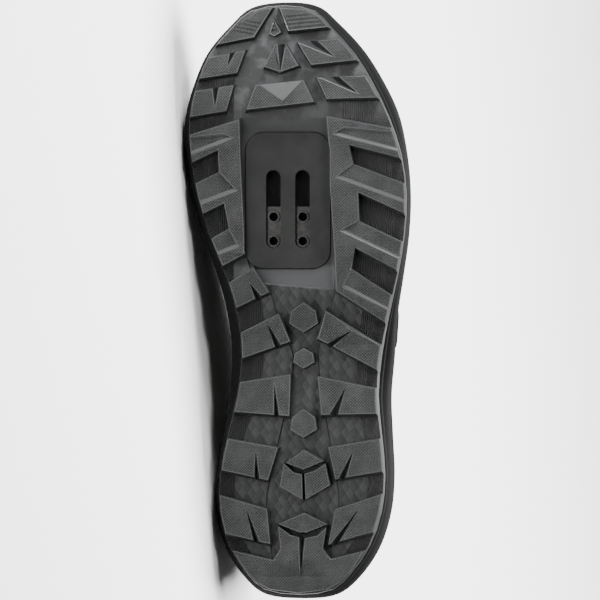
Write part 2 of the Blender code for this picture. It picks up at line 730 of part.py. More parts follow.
def rail_corners(side, spine, arms):
    """Corners of a rail: down its spine, then back along the arms."""
    corners = [plan_point(*p) for p in spine]
    for arm in reversed(arms):
        if arm.root_rear:
            corners.append(plan_point(*arm.root_rear))
        corners.append(edge_point(side, arm.edge_rear))
        corners.append(edge_point(side, (arm.edge_rear + arm.edge_front) / 2))
        corners.append(edge_point(side, arm.edge_front))
        if arm.root_front:
            corners.append(plan_point(*arm.root_front))
    return corners


def centre_lug_corners(lug):
    """A hexagon pointed towards toe and heel."""
    front, rear = lug.half_long * lug.front, -lug.half_long * lug.rear
    shape = [
        (lug.half_long, 0),
        (front, lug.half_wide * HEXAGON_FRONT),
        (rear, lug.half_wide),
        (-lug.half_long, 0),
        (rear, -lug.half_wide),
        (front, -lug.half_wide * HEXAGON_FRONT),
    ]
    return [plan_point(lug.at + along, lug.across + across) for along, across in shape]


def heel_block_corners():
    """The block under the back of the heel, round the outline and along its front."""
    shares = [HEEL_BLOCK_SIDE, *HEEL_BLOCK_BACK]
    lateral = [edge_point(LATERAL, at) for at in shares]
    medial = [edge_point(MEDIAL, at) for at in shares]
    back = [(HEEL_END.at * LENGTH + LUG_INSET, HEEL_END.lateral * BALL_WIDTH)]
    return medial + back + lateral[::-1] + [plan_point(*p) for p in HEEL_BLOCK_FRONT]


def tread_lugs():
    """All the lugs as one mesh of separate blocks."""
    shell = Shell()
    for lug in LUGS:
        add_lug(shell, side_lug_corners(lug), REAR_DRAFT)
    add_lug(shell, rail_corners(LATERAL, LATERAL_SPINE, LATERAL_ARMS), REAR_DRAFT)
    add_lug(shell, rail_corners(MEDIAL, MEDIAL_SPINE, MEDIAL_ARMS), REAR_DRAFT)
    for lug in CENTRE_LUGS.values():
        add_lug(shell, centre_lug_corners(lug))
    for name, corners in CORNERED_LUGS.items():
        rear_draft = REAR_DRAFT if name in SLOPING_LUGS else LUG_DRAFT
        add_lug(shell, [plan_point(*p) for p in corners], rear_draft)
    add_lug(shell, heel_block_corners())
    return laid_on_tread(shell, "tread_lugs")


def outsole():
    """The moulded rubber: base, lugs and the window for the cleat plate."""
    made = tread_base()
    lugs = tread_lugs()
    boolean(lugs, notches(), "DIFFERENCE", overlapping=True)
    boolean(made, lugs, "UNION", overlapping=True)
    window_top = base_height(PLATE_AT) + BASE_THICKNESS + SEAM
    boolean(made, plate_prism("outsole_window", SEAM, -LUG_DEPTH, window_top + LUG_DEPTH), "DIFFERENCE")
    return made


def plate_centre():
    return Vector((PLATE_AT * LENGTH, PLATE_ACROSS * BALL_WIDTH, 0))


def slots_centre():
    return plate_centre() - Vector((SLOT_SETBACK, 0, 0))


def plate_face_height():
    return base_height(PLATE_AT) + CHANNEL_DEPTH + PLATE_RECESS


def rounded_rectangle(length, width, corner, centre):
    """Corners of a rectangle with round corners, as plan points about a centre."""
    points = []
    for quarter in range(4):
        start = quarter * math.pi / 2
        sign_x = 1 if quarter in (0, 3) else -1
        sign_y = 1 if quarter in (0, 1) else -1
        middle_x = centre.x + sign_x * (length / 2 - corner)
        middle_y = centre.y + sign_y * (width / 2 - corner)
        for step in range(CORNER_STEPS + 1):
            angle = start + step * math.pi / 2 / CORNER_STEPS
            points.append((middle_x + corner * math.cos(angle), middle_y + corner * math.sin(angle)))
    return points


def prisms(name, outlines, low, high, material_name):
    """Upright prisms on plan outlines, as one object."""
    shell = Shell()
    for corners in outlines:
        bottom = shell.add([Vector((x, y, low)) for x, y in corners])
        top = shell.add([Vector((x, y, high)) for x, y in corners])
        shell.band(bottom, top)
        shell.faces += [tuple(bottom), tuple(top)]
    return make_object(name, shell.points, shell.faces, material_name)


def plate_prism(name, margin, low, high):
    """A prism of the cleat plate's outline, grown by margin all round."""
    length, width = PLATE_LENGTH + 2 * margin, PLATE_WIDTH + 2 * margin
    outline = rounded_rectangle(length, width, PLATE_CORNER + margin, plate_centre())
    return prisms(name, [outline], low, high, "plate_nylon")


def cleat_plate():
    """The smooth plate in the pocket, with its two slots."""
    low = plate_face_height()
    high = low + PLATE_THICKNESS
    made = plate_prism("cleat_plate", 0, low, high)
    middles = [slots_centre() + Vector((0, side * BOLT_SPACING / 2, 0)) for side in (LATERAL, MEDIAL)]
    end = SLOT_WIDTH * SLOT_END
    slots = [rounded_rectangle(SLOT_LENGTH, SLOT_WIDTH, end, middle) for middle in middles]
    through = PLATE_THICKNESS
    boolean(made, prisms("slots", slots, low - through, high + through, "plate_nylon"), "DIFFERENCE")
    return made


def circle(radius, centre):
    angles = [2 * math.pi * k / BOSS_STEPS for k in range(BOSS_STEPS)]
    return [(centre.x + radius * math.cos(a), centre.y + radius * math.sin(a)) for a in angles]


def nut_plate():
    """The steel plate behind the slots, with four threaded bosses that stand into them."""
    low = plate_face_height() + PLATE_THICKNESS + SEAM
    high = low + NUT_PLATE_THICKNESS
    rear = SLOT_LENGTH / 2 - SLOT_WIDTH / 2 - BOLT_ROW_SPACING / 2
    centre = slots_centre() - Vector((rear, 0, 0))
    outline = rounded_rectangle(NUT_PLATE_LENGTH, NUT_PLATE_WIDTH, NUT_BOSS_RADIUS, centre)
    made = prisms("nut_plate", [outline], low, high, "nut_steel")
    middles = [
        centre + Vector((row * BOLT_ROW_SPACING / 2, side * BOLT_SPACING / 2, 0))
        for row in (-1, 1)
        for side in (LATERAL, MEDIAL)
    ]
    bosses = [circle(NUT_BOSS_RADIUS, middle) for middle in middles]
    holes = [circle(NUT_HOLE_RADIUS, middle) for middle in middles]
    boss_face, boss_root = low - NUT_BOSS_HEIGHT, (low + high) / 2
    through = NUT_PLATE_THICKNESS
    boolean(made, prisms("bosses", bosses, boss_face, boss_root, "nut_steel"), "UNION")
    boolean(made, prisms("holes", holes, boss_face - through, high + through, "nut_steel"), "DIFFERENCE")
    return made


def feather_offset():
    """How far inside the sidewall's top the upper's foot stands."""
    return -RIM_WALL - SEAM


def ridge_across(x):
    return between(RIDGE, x / LENGTH, "across") * BALL_WIDTH


def wall_curve(index):
    """The four handles of the upper's wall above one point of the loop."""
    foot = ring(SIDE_PROFILE[-1].out, feather_offset(), rim_height)[index]
    side = LATERAL if index <= TOE_INDEX else MEDIAL
    at = LOOP[index, 0] / LENGTH
    top_x = between(UPPER, at, "top_at") * LENGTH
    half = max(between(UPPER, at, "top_half"), 0.0) * BALL_WIDTH
    if at >= VAMP_FRONT or index in (0, TOE_INDEX):
        half = 0.0
    top_z = between(UPPER, at, "top_height") * INSTEP_HEIGHT
    top = Vector((top_x, ridge_across(top_x) + side * half, top_z))
    out = Vector((*NORMALS[index], 0))
    chord = (top - foot).length
    lift = Vector((0, 0, (top.z - foot.z) * WALL_LIFT))
    swell = foot + out * between(UPPER, at, "belly") * BALL_WIDTH + lift
    away = foot - top
    away.z = 0
    away.normalize()
    brow = math.radians(between(UPPER, at, "brow"))
    slope = away * math.cos(brow) - Vector((0, 0, math.sin(brow)))
    shoulder = top + slope * chord * BROW_REACH
    return foot, swell, shoulder, top


def bezier(handles, t):
    a, b, c, d = handles
    return a * (1 - t) ** 3 + b * 3 * t * (1 - t) ** 2 + c * 3 * t * t * (1 - t) + d * t**3


CURVES = [wall_curve(i) for i in range(COUNT)]


def top_is_shared(index):
    """True on the vamp, where the lateral and medial walls meet on the ridge."""
    return LOOP[index, 0] / LENGTH >= VAMP_FRONT


def upper():
    """One hollow wall: from the cup of the sole up to collar and throat."""
    shell = Shell()
    feet = ring(SIDE_PROFILE[-1].out, feather_offset(), lambda at: footbed_height(at) + SEAM)
    rows = [shell.add(feet)]
    for step in range(WALL_STEPS):
        rows.append(shell.add([bezier(CURVES[i], step / WALL_STEPS) for i in range(COUNT)]))
    top = []
    for i in range(COUNT):
        partner = (COUNT - i) % COUNT
        shared = top_is_shared(i) and i > TOE_INDEX
        top.append(top[partner] if shared else shell.add([CURVES[i][3]])[0])
    rows.append(top)
    for low, high in zip(rows, rows[1:]):
        for i in range(COUNT):
            j = (i + 1) % COUNT
            shell.faces.append((low[j], low[i], high[i], high[j]))
    pads = wall_depths(rows)
    thicken(shell, lambda i: pads[i])
    return make_object("upper", shell.points, shell.faces, "upper_synthetic")


def wall_depths(rows):
    """Thickness of the upper at each point: padded towards the collar's edge."""
    depths = {}
    for level, row in enumerate(rows):
        rise = ease((level - 1) / WALL_STEPS, PAD_LOW, 1)
        for i, point in enumerate(row):
            pad = COLLAR_PAD * rise * (1 - ease(LOOP[i, 0] / LENGTH, PAD_FULL, PAD_FRONT))
            depths[point] = UPPER_WALL + pad
    return depths


def insole():
    """The sock liner on the footbed, inside the upper's foot."""
    shell = Shell()
    inset = feather_offset() - UPPER_WALL - SEAM
    top_out = SIDE_PROFILE[-1].out
    low = shell.add(ring(top_out, inset, lambda at: footbed_height(at) + SEAM))
    high = shell.add(ring(top_out, inset, lambda at: footbed_height(at) + SEAM + INSOLE_THICKNESS))
    shell.band(low, high)
    shell.ladder(low)
    shell.ladder(high)
    return make_object("insole", shell.points, shell.faces, "lining_mesh")


def loop_index(side, at):
    """The place between loop points where one side reaches a station, as a number."""
    first = 0 if side == LATERAL else COUNT
    indices = [first + side * k for k in range(TOE_INDEX + 1)]
    stations = [LOOP[k % COUNT, 0] / LENGTH for k in indices]
    return float(np.interp(at, stations, indices))


def handles_at(side, at):
    """The wall's handles at a station, between those of the loop's points."""
    place = loop_index(side, at)
    low = math.floor(place)
    share = place - low
    first, second = CURVES[low % COUNT], CURVES[(low + 1) % COUNT]
    return [a * (1 - share) + b * share for a, b in zip(first, second)]


def across_points(lateral_at, medial_at, lateral_end, medial_end, steps):
    """Points over the shoe: up one wall, over the throat, down the other.

    Each wall has its station and its end, 0 at the sole's rim and 1 at the top edge.
    """
    lateral, medial = handles_at(LATERAL, lateral_at), handles_at(MEDIAL, medial_at)
    span = (lateral[3] - medial[3]).length
    reach = span * BRIDGE_REACH
    bridge = [
        lateral[3],
        lateral[3] + (lateral[3] - lateral[2]).normalized() * reach,
        medial[3] + (medial[3] - medial[2]).normalized() * reach,
        medial[3],
    ]
    line = [bezier(lateral, t) for t in np.linspace(lateral_end, 1, steps)]
    line += [bezier(bridge, t) for t in np.linspace(0, 1, BRIDGE_STEPS + 2)[1:-1]]
    line += [bezier(medial, t) for t in np.linspace(1, medial_end, steps)]
    return line


def resampled(line, shares):
    """Points of a line at shares of its length."""
    lengths = [0.0]
    for a, b in zip(line, line[1:]):
        lengths.append(lengths[-1] + (b - a).length)
    coordinates = np.array([tuple(p) for p in line])
    wanted = np.array(shares) * lengths[-1]
    columns = [np.interp(wanted, lengths, coordinates[:, k]) for k in range(3)]
    return [Vector(p) for p in zip(*columns)]


def sheet_on_upper(rows_of_points, lift, thickness):
    """A sheet laid along rows of points, lifted off them, with a thickness."""
    shell = Shell()
    rows = [shell.add(points) for points in rows_of_points]
    for row, following in zip(rows, rows[1:]):
        shell.band(row, following, closed=False)
    work = bmesh.new()
    points = [work.verts.new(p) for p in shell.points]
    for face in shell.faces:
        work.faces.new([points[i] for i in face])
    work.normal_update()
    up = 1 if sum(v.normal.z for v in work.verts) > 0 else -1
    shell.points = [v.co + v.normal * lift * up for v in work.verts]
    work.free()
    if up < 0:
        shell.faces = [face[::-1] for face in shell.faces]
    thicken(shell, thickness)
    return shell


def tongue():
    """The padded tongue under the throat, standing out above it."""
    columns = 2 * CORNER_STEPS + 1
    shares = np.linspace(0, 1, columns)
    rows = []
    for at in np.linspace(TONGUE_FRONT, TONGUE_REAR, TONGUE_ROWS):
        under = TONGUE_UNDER + (TONGUE_UNDER_REAR - TONGUE_UNDER) * ease(at, TONGUE_NARROWS, TONGUE_REAR)
        rows.append(resampled(across_points(at, at, under, under, WALL_STEPS), shares))
    back = Vector((-math.cos(TONGUE_LEAN), 0, math.sin(TONGUE_LEAN)))
    last = rows[-1]
    middle = sum(last, Vector()) / len(last)
    for step in range(1, TONGUE_TOP_ROWS + 1):
        share = step / TONGUE_TOP_ROWS
        narrowing = 1 - TONGUE_TOP_NARROWING * share
        rows.append([middle + (p - middle) * narrowing + back * TONGUE_TOP * share for p in last])
    row_count = len(rows)

    def thickness(i):
        row, column = divmod(i, columns)
        from_side = min(column, columns - 1 - column) / (columns - 1)
        from_end = min(row, row_count - 1 - row) / row_count
        fullness = ease(from_side, 0, TONGUE_TAPER) * ease(from_end, -TONGUE_END_LEAD, TONGUE_END)
        return TONGUE_EDGE + (TONGUE_THICKNESS - TONGUE_EDGE) * fullness

    shell = sheet_on_upper(rows, -UPPER_WALL - TONGUE_CLEARANCE, thickness)
    return make_object("tongue", shell.points, shell.faces, "tongue_mesh")


def strap(name, row):
    """A hook-and-loop strap over the throat, with round ends on both walls."""
    shares = np.linspace(0, 1, STRAP_STEPS)
    lines = []
    for side in np.linspace(1, -1, STRAP_ROWS):
        off = side * row.width * STRAP_WIDTH / 2 / LENGTH
        ends = row.lateral_end, row.medial_end
        line = across_points(row.lateral_at + off, row.medial_at + off, *ends, 3 * WALL_STEPS)
        lines.append(resampled(line, shares))
    middle = lines[len(lines) // 2]
    for line in lines:
        for i, share in enumerate(shares):
            nose = min(share, 1 - share) / STRAP_NOSE
            if nose < 1:
                narrowing = STRAP_TIP + (1 - STRAP_TIP) * math.sqrt(1 - (1 - nose) ** 2)
                line[i] = middle[i] + (line[i] - middle[i]) * narrowing
    shell = sheet_on_upper(lines, STRAP_CLEARANCE + STRAP_THICKNESS, lambda i: STRAP_THICKNESS)
    return make_object(name, shell.points, shell.faces, "strap_webbing")


def evaluated_points(pieces):
    """All points of the finished pieces, and their centre of volume."""
    graph = bpy.context.evaluated_depsgraph_get()
    points, moment, volume = [], np.zeros(3), 0.0
    for piece in pieces:
        mesh = piece.evaluated_get(graph).to_mesh()
        mesh.calc_loop_triangles()
        corners = np.array([v.co for v in mesh.vertices])
        triangles = np.array([t.vertices for t in mesh.loop_triangles])
        a, b, c = (corners[triangles[:, k]] for k in range(3))
        parts = np.einsum("ij,ij->i", a, np.cross(b, c)) / 6
        moment += ((a + b + c) / 4 * parts[:, None]).sum(axis=0)
        volume += parts.sum()
        points.append(corners)
        piece.evaluated_get(graph).to_mesh_clear()
    return np.concatenate(points), moment / volume


def resting_face(points, centre, towards):
    """The outward normal of the hull's face that carries the centre, nearest to towards."""
    work = bmesh.new()
    for p in points:
        work.verts.new(p)
    hull = bmesh.ops.convex_hull(work, input=work.verts)["geom"]
    faces = [item for item in hull if isinstance(item, bmesh.types.BMFace)]
    best, found = -1.0, None
    for face in faces:
        normal = face.normal
        if normal.dot(face.verts[0].co - Vector(centre)) < 0:
            normal = -normal
        if normal.dot(towards) <= best:
            continue
        corners = [v.co for v in face.verts]
        turns = [
            (after - before).cross(Vector(centre) - before).dot(face.normal)
            for before, after in zip(corners, corners[1:] + corners[:1])
        ]
        if all(turn >= 0 for turn in turns) or all(turn <= 0 for turn in turns):
            best, found = normal.dot(towards), normal.copy()
    work.free()
    return found


def lay_on_side(pieces):
    """Puts the shoe down on its medial side, sole towards -Y and toe towards -X."""
    points, centre = evaluated_points(pieces)
    down = resting_face(points, centre, Vector((0, -1, 0)))
    up = -down
    right = -(Vector((1, 0, 0)) - Vector((1, 0, 0)).dot(up) * up).normalized()
    turn = Matrix((right, up.cross(right), up))
    turned = points @ np.array(turn).T
    low, high = turned.min(axis=0), turned.max(axis=0)
    place = Vector((-(low[0] + high[0]) / 2, -(low[1] + high[1]) / 2, -low[2]))
    shoe = bpy.data.objects.new("shoe", None)
    bpy.context.scene.collection.objects.link(shoe)
    shoe.matrix_world = Matrix.Translation(place) @ turn.to_4x4()
    for item in list(bpy.context.scene.collection.objects):
        if item is not shoe:
            item.parent = shoe


def main():
    for item in list(bpy.data.objects):
        bpy.data.objects.remove(item)
    pieces = [outsole(), midsole(), cleat_plate(), nut_plate(), insole(), upper(), tongue()]
    pieces += [strap(name, row) for name, row in STRAPS.items()]
    lay_on_side(pieces)


main()
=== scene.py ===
"""Left cycling shoe on its medial side, sole towards the camera: the finish of every surface.

Every piece is worked out in the shoe's own axes and then laid down as the solids are:
X runs from the heel to the toe, Y to the lateral side and Z up from the tread. Metres.
"""

import json
import math
from collections import namedtuple

import bmesh
import bpy
import numpy as np
from mathutils import Matrix, Vector


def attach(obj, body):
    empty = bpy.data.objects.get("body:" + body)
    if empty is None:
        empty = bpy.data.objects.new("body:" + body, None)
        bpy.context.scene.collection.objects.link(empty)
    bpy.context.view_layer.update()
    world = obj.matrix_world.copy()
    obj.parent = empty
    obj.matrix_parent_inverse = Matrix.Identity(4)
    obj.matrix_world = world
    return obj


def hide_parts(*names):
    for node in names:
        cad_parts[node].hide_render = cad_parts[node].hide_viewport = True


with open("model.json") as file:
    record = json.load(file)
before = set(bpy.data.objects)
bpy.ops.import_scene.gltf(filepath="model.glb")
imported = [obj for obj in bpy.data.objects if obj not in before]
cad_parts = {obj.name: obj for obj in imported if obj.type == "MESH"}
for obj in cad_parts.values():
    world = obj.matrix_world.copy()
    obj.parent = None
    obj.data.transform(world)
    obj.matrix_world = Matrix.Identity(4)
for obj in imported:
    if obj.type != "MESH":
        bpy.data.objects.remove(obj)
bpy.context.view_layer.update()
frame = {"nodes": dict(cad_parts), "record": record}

# Sizes of the shoe, as its solids have them
LENGTH = 0.287
BALL_WIDTH = 0.102
BALL_STACK = 0.017
HEEL_STACK = 0.026
TOE_SPRING = 0.020
ARCH_RISE = 0.005
HEEL_BEVEL = 0.003
SIDE_FLARE = 0.006
RIM_HEIGHT = 0.005
RIM_WALL = 0.0026
LUG_DEPTH = 0.0045
BASE_THICKNESS = 0.0025
INSTEP_HEIGHT = 0.110
UPPER_WALL = 0.0024
COLLAR_PAD = 0.004
INSOLE_THICKNESS = 0.004
STRAP_THICKNESS = 0.0016
STRAP_CLEARANCE = 0.0006
STRAP_WIDTH = 0.022
SEAM = 0.0003

# Where the tread leaves the floor, as shares of the length from the heel
HEEL_BREAK = 0.07
ARCH_REAR = 0.24
ARCH_FRONT = 0.60
TOE_BREAK = 0.73
STACK_REAR = 0.25
STACK_FRONT = 0.62

# The place of the forefoot mount in the shoe's axes, as shares of length and ball width
FOREFOOT_AT = 0.686
FOREFOOT_ACROSS = 0.37


def lay(at, across):
    """A point on the floor of the shoe's axes, from shares of its length and ball width."""
    return Vector((at * LENGTH, across * BALL_WIDTH, 0))


def shoe_axes():
    """The matrix from the shoe's own axes to where it lies."""
    mount = next(m for m in frame["record"]["mounts"] if m["name"] == "forefoot_tread")
    up = -Vector(mount["axis"]).normalized()
    toe = Vector((0, 1, 0)).cross(up).normalized()
    turn = Matrix((toe, up.cross(toe), up)).transposed()
    spot = turn @ lay(FOREFOOT_AT, FOREFOOT_ACROSS)
    return Matrix.Translation(Vector(mount["pos_m"]) - spot) @ turn.to_4x4()


SHOE = shoe_axes()


# Outline of the tread at stations from heel to toe. "at" is a share of the length.
# medial and lateral are the tread's edges, as shares of the ball width from the axis.
# The flares say how far the sidewall stands outside them, as shares of SIDE_FLARE.
Outline = namedtuple("Outline", "at medial lateral medial_flare lateral_flare")
HEEL_END = Outline(0.009, 0.009, -0.009, 0.38, 0.38)
TOE_END = Outline(0.993, 0.089, -0.089, 0.32, 0.32)
OUTLINE = [
    Outline(0.018, 0.174, 0.151, 0.45, 0.52),
    Outline(0.044, 0.254, 0.231, 0.50, 0.66),
    Outline(0.090, 0.337, 0.320, 0.50, 0.68),
    Outline(0.148, 0.381, 0.377, 0.45, 0.62),
    Outline(0.207, 0.380, 0.393, 0.42, 0.60),
    Outline(0.274, 0.344, 0.377, 0.50, 0.74),
    Outline(0.341, 0.301, 0.357, 0.78, 0.98),
    Outline(0.408, 0.281, 0.372, 0.95, 1.00),
    Outline(0.475, 0.301, 0.409, 0.92, 0.62),
    Outline(0.542, 0.355, 0.454, 0.76, 0.36),
    Outline(0.609, 0.432, 0.487, 0.62, 0.24),
    Outline(0.676, 0.488, 0.496, 0.57, 0.22),
    Outline(0.743, 0.520, 0.471, 0.60, 0.38),
    Outline(0.805, 0.525, 0.410, 0.46, 0.76),
    Outline(0.860, 0.494, 0.334, 0.34, 0.78),
    Outline(0.910, 0.439, 0.247, 0.30, 0.70),
    Outline(0.956, 0.336, 0.129, 0.30, 0.64),
    Outline(0.984, 0.249, 0.052, 0.31, 0.44),
]
SPAN_STEPS = 6
LATERAL, MEDIAL = 1, -1


def ramp(value, start, end):
    """0 at start, 1 at end and straight between, held outside them."""
    return min(1.0, max(0.0, (value - start) / (end - start)))


def ease(value, start, end):
    """As ramp, but leaving and arriving level."""
    share = ramp(value, start, end)
    return share * share * (3 - 2 * share)


def between(rows, at, column):
    """A column of a table of rows, at a station between them, on a smooth curve."""
    stations = [row.at for row in rows]
    values = [getattr(row, column) for row in rows]
    at = min(max(at, stations[0]), stations[-1])
    i = min(max(np.searchsorted(stations, at) - 1, 0), len(rows) - 2)
    width = stations[i + 1] - stations[i]
    slopes = []
    for k in (i, i + 1):
        low, high = max(k - 1, 0), min(k + 1, len(rows) - 1)
        slopes.append((values[high] - values[low]) / (stations[high] - stations[low]))
    s = (at - stations[i]) / width
    steady = (1 + 2 * s) * (1 - s) ** 2 * values[i] + s * s * (3 - 2 * s) * values[i + 1]
    leaning = s * (1 - s) ** 2 * width * slopes[0] + s * s * (s - 1) * width * slopes[1]
    return steady + leaning


def tread_height(at):
    """Height of the lug faces above the floor: flat under heel and ball."""
    toe = TOE_SPRING * ramp(at, TOE_BREAK, 1) ** 2
    heel = HEEL_BEVEL * ramp(at, HEEL_BREAK, 0) ** 2
    arch = ARCH_RISE * math.sin(math.pi * ramp(at, ARCH_REAR, ARCH_FRONT)) ** 2
    return toe + heel + arch


def base_height(at):
    return tread_height(at) + LUG_DEPTH


def footbed_height(at):
    """Height of the floor inside the cup of the midsole."""
    stack = BALL_STACK + (HEEL_STACK - BALL_STACK) * (1 - ease(at, STACK_REAR, STACK_FRONT))
    return stack + TOE_SPRING * ramp(at, TOE_BREAK, 1) ** 2


def rim_height(at):
    return footbed_height(at) + RIM_HEIGHT


def loop_controls():
    """The tread's outline as a loop of (x, y, flare): heel, lateral side, toe, medial side."""
    heel = [(HEEL_END.at * LENGTH, HEEL_END.lateral * BALL_WIDTH, HEEL_END.lateral_flare)]
    toe = [(TOE_END.at * LENGTH, TOE_END.lateral * BALL_WIDTH, TOE_END.lateral_flare)]
    lateral = [(row.at * LENGTH, row.lateral * BALL_WIDTH, row.lateral_flare) for row in OUTLINE]
    medial = [(row.at * LENGTH, -row.medial * BALL_WIDTH, row.medial_flare) for row in OUTLINE]
    return np.array(heel + lateral + toe + medial[::-1])


def on_span(p, knots, t):
    """The point at knot value t between the second and third of four controls."""
    a = [
        p[k] * (knots[k + 1] - t) / (knots[k + 1] - knots[k])
        + p[k + 1] * (t - knots[k]) / (knots[k + 1] - knots[k])
        for k in range(3)
    ]
    b = [
        a[k] * (knots[k + 2] - t) / (knots[k + 2] - knots[k])
        + a[k + 1] * (t - knots[k]) / (knots[k + 2] - knots[k])
        for k in range(2)
    ]
    return b[0] * (knots[2] - t) / (knots[2] - knots[1]) + b[1] * (t - knots[1]) / (knots[2] - knots[1])


def smooth_loop(controls, steps):
    """A closed centripetal curve through the controls, with steps points to a span."""
    count = len(controls)
    points = []
    for i in range(count):
        p = [controls[(i + k) % count] for k in (-1, 0, 1, 2)]
        knots = [0.0]
        for k in range(3):
            knots.append(knots[-1] + math.sqrt(np.linalg.norm((p[k + 1] - p[k])[:2])))
        for step in range(steps):
            points.append(on_span(p, knots, knots[1] + (knots[2] - knots[1]) * step / steps))
    return np.array(points)


LOOP = smooth_loop(loop_controls(), SPAN_STEPS)
COUNT = len(LOOP)
TOE_INDEX = COUNT // 2
STATIONS = LOOP[:, 0] / LENGTH


def loop_normals():
    """The outward direction in plan at each point of the loop."""
    along = np.roll(LOOP[:, :2], -1, axis=0) - np.roll(LOOP[:, :2], 1, axis=0)
    outward = np.stack([-along[:, 1], along[:, 0]], axis=1)
    return outward / np.linalg.norm(outward, axis=1)[:, None]


NORMALS = loop_normals()


def ring(flare_share, offset, height):
    """The outline moved out by a share of its flare and by offset, at height(at)."""
    out = LOOP[:, 2] * SIDE_FLARE * flare_share + offset
    plan = LOOP[:, :2] + NORMALS * out[:, None]
    return [Vector((x, y, height(x / LENGTH))) for x, y in plan]


def from_edge(x, y):
    """Distance inwards from the tread's edge, in plan."""
    start = LOOP[:, :2]
    side = np.roll(start, -1, axis=0) - start
    to = np.array((x, y)) - start
    share = np.clip((to * side).sum(axis=1) / (side * side).sum(axis=1), 0, 1)
    return float(np.sqrt(((to - side * share[:, None]) ** 2).sum(axis=1).min()))


class Nodes:
    """A material with its Principled shader, and short ways to write its nodes."""

    def __init__(self, name, colour, roughness, metallic=0.0, gloss=0.5):
        self.made = bpy.data.materials.new(name)
        self.made.use_nodes = True
        self.tree = self.made.node_tree
        self.shader = self.tree.nodes["Principled BSDF"]
        self.set("Base Color", (*colour, 1))
        self.set("Roughness", roughness)
        self.set("Metallic", metallic)
        self.set("Specular IOR Level", gloss)

    def set(self, name, value):
        """Sets or links one of the shader's inputs."""
        self.put(self.shader.inputs[name], value)

    def node(self, kind, **settings):
        new = self.tree.nodes.new(kind)
        for key, value in settings.items():
            setattr(new, key, value)
        return new

    def put(self, target, value):
        if isinstance(value, bpy.types.NodeSocket):
            self.tree.links.new(value, target)
        else:
            target.default_value = value

    def math(self, operation, *values):
        new = self.node("ShaderNodeMath", operation=operation)
        for socket, value in zip(new.inputs, values):
            self.put(socket, value)
        return new.outputs[0]

    def plus(self, *values):
        return self.math("ADD", *values)

    def minus(self, *values):
        return self.math("SUBTRACT", *values)

    def times(self, *values):
        return self.math("MULTIPLY", *values)

    def attribute(self, name, output="Fac"):
        return self.node("ShaderNodeAttribute", attribute_name=name).outputs[output]

    def split(self, vector):
        new = self.node("ShaderNodeSeparateXYZ")
        self.put(new.inputs[0], vector)
        return new.outputs

    def noise(self, vector, scale, detail=3.0, roughness=0.55):
        new = self.node("ShaderNodeTexNoise")
        self.put(new.inputs["Vector"], vector)
        for name, value in (("Scale", scale), ("Detail", detail), ("Roughness", roughness)):
            new.inputs[name].default_value = value
        return new.outputs["Fac"]

    def mapped(self, value, low, high, to_low=0.0, to_high=1.0, smooth=False):
        new = self.node("ShaderNodeMapRange")
        new.interpolation_type = "SMOOTHSTEP" if smooth else "LINEAR"
        for socket, number in zip(new.inputs, (value, low, high, to_low, to_high)):
            self.put(socket, number)
        return new.outputs[0]

    def mix(self, factor, first, second):
        """Mixes two numbers."""
        new = self.node("ShaderNodeMix", data_type="FLOAT")
        self.put(new.inputs[0], factor)
        self.put(new.inputs[2], first)
        self.put(new.inputs[3], second)
        return new.outputs[0]

    def tint(self, factor, first, second):
        """Mixes two colours."""
        new = self.node("ShaderNodeMix", data_type="RGBA")
        self.put(new.inputs[0], factor)
        for socket, colour in zip((new.inputs[6], new.inputs[7]), (first, second)):
            self.put(socket, (*colour, 1) if isinstance(colour, tuple) else colour)
        return new.outputs[2]

    def bump(self, height, distance, strength=1.0, normal=None):
        new = self.node("ShaderNodeBump")
        new.inputs["Strength"].default_value = strength
        new.inputs["Distance"].default_value = distance
        self.put(new.inputs["Height"], height)
        if normal is not None:
            self.put(new.inputs["Normal"], normal)
        return new.outputs[0]

    def vary(self, colour, clouds, spread, darker, lighter):
        """Lets soft clouds move the colour between a darker and a lighter one."""
        dark, light = (tuple(c * share for c in colour) for share in (darker, lighter))
        self.colour = self.tint(self.mapped(clouds, 0.5 - spread, 0.5 + spread), dark, light)
        self.set("Base Color", self.colour)

    def grained(self, normal=None, depth=0.00003):
        """Gives the shader a normal with the fine grain over it."""
        self.set("Normal", self.bump(self.grain, depth, normal=normal))

    def wave(self, value, period):
        """A cosine of a length in millimetres, from 0 to 1."""
        turn = self.times(value, 2 * math.pi / period)
        return self.math("MULTIPLY_ADD", self.math("COSINE", turn), 0.5, 0.5)

    def triangle(self, value, period):
        """A triangle wave of a length in millimetres, from 0 to 1."""
        share = self.math("FRACT", self.math("DIVIDE", value, period))
        return self.math("ABSOLUTE", self.math("MULTIPLY_ADD", share, 2.0, -1.0))


MILLIMETRES = 1000.0


def place(name, data):
    """A new object in the scene."""
    made = bpy.data.objects.new(name, data)
    bpy.context.scene.collection.objects.link(made)
    return made


def place_mesh(name, work):
    mesh = bpy.data.meshes.new(name)
    work.to_mesh(mesh)
    work.free()
    return place(name, mesh)


def finish_piece(name, work, materials, replaced=()):
    """Turns a bmesh in the shoe's axes into a piece that lies where the shoe lies."""
    plan = work.verts.layers.float_vector.new("plan")
    for v in work.verts:
        v[plan] = v.co * MILLIMETRES
    bmesh.ops.transform(work, matrix=SHOE, verts=work.verts)
    piece = place_mesh(name, work)
    for item in materials:
        piece.data.materials.append(item)
    piece.data.shade_smooth()
    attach(piece, "root")
    if replaced:
        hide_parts(*replaced)
    return piece


# The cleat pocket's place
PLATE_AT = 0.666
PLATE_ACROSS = -0.0615
PLATE_LENGTH = 0.065
PLATE_WIDTH = 0.0405

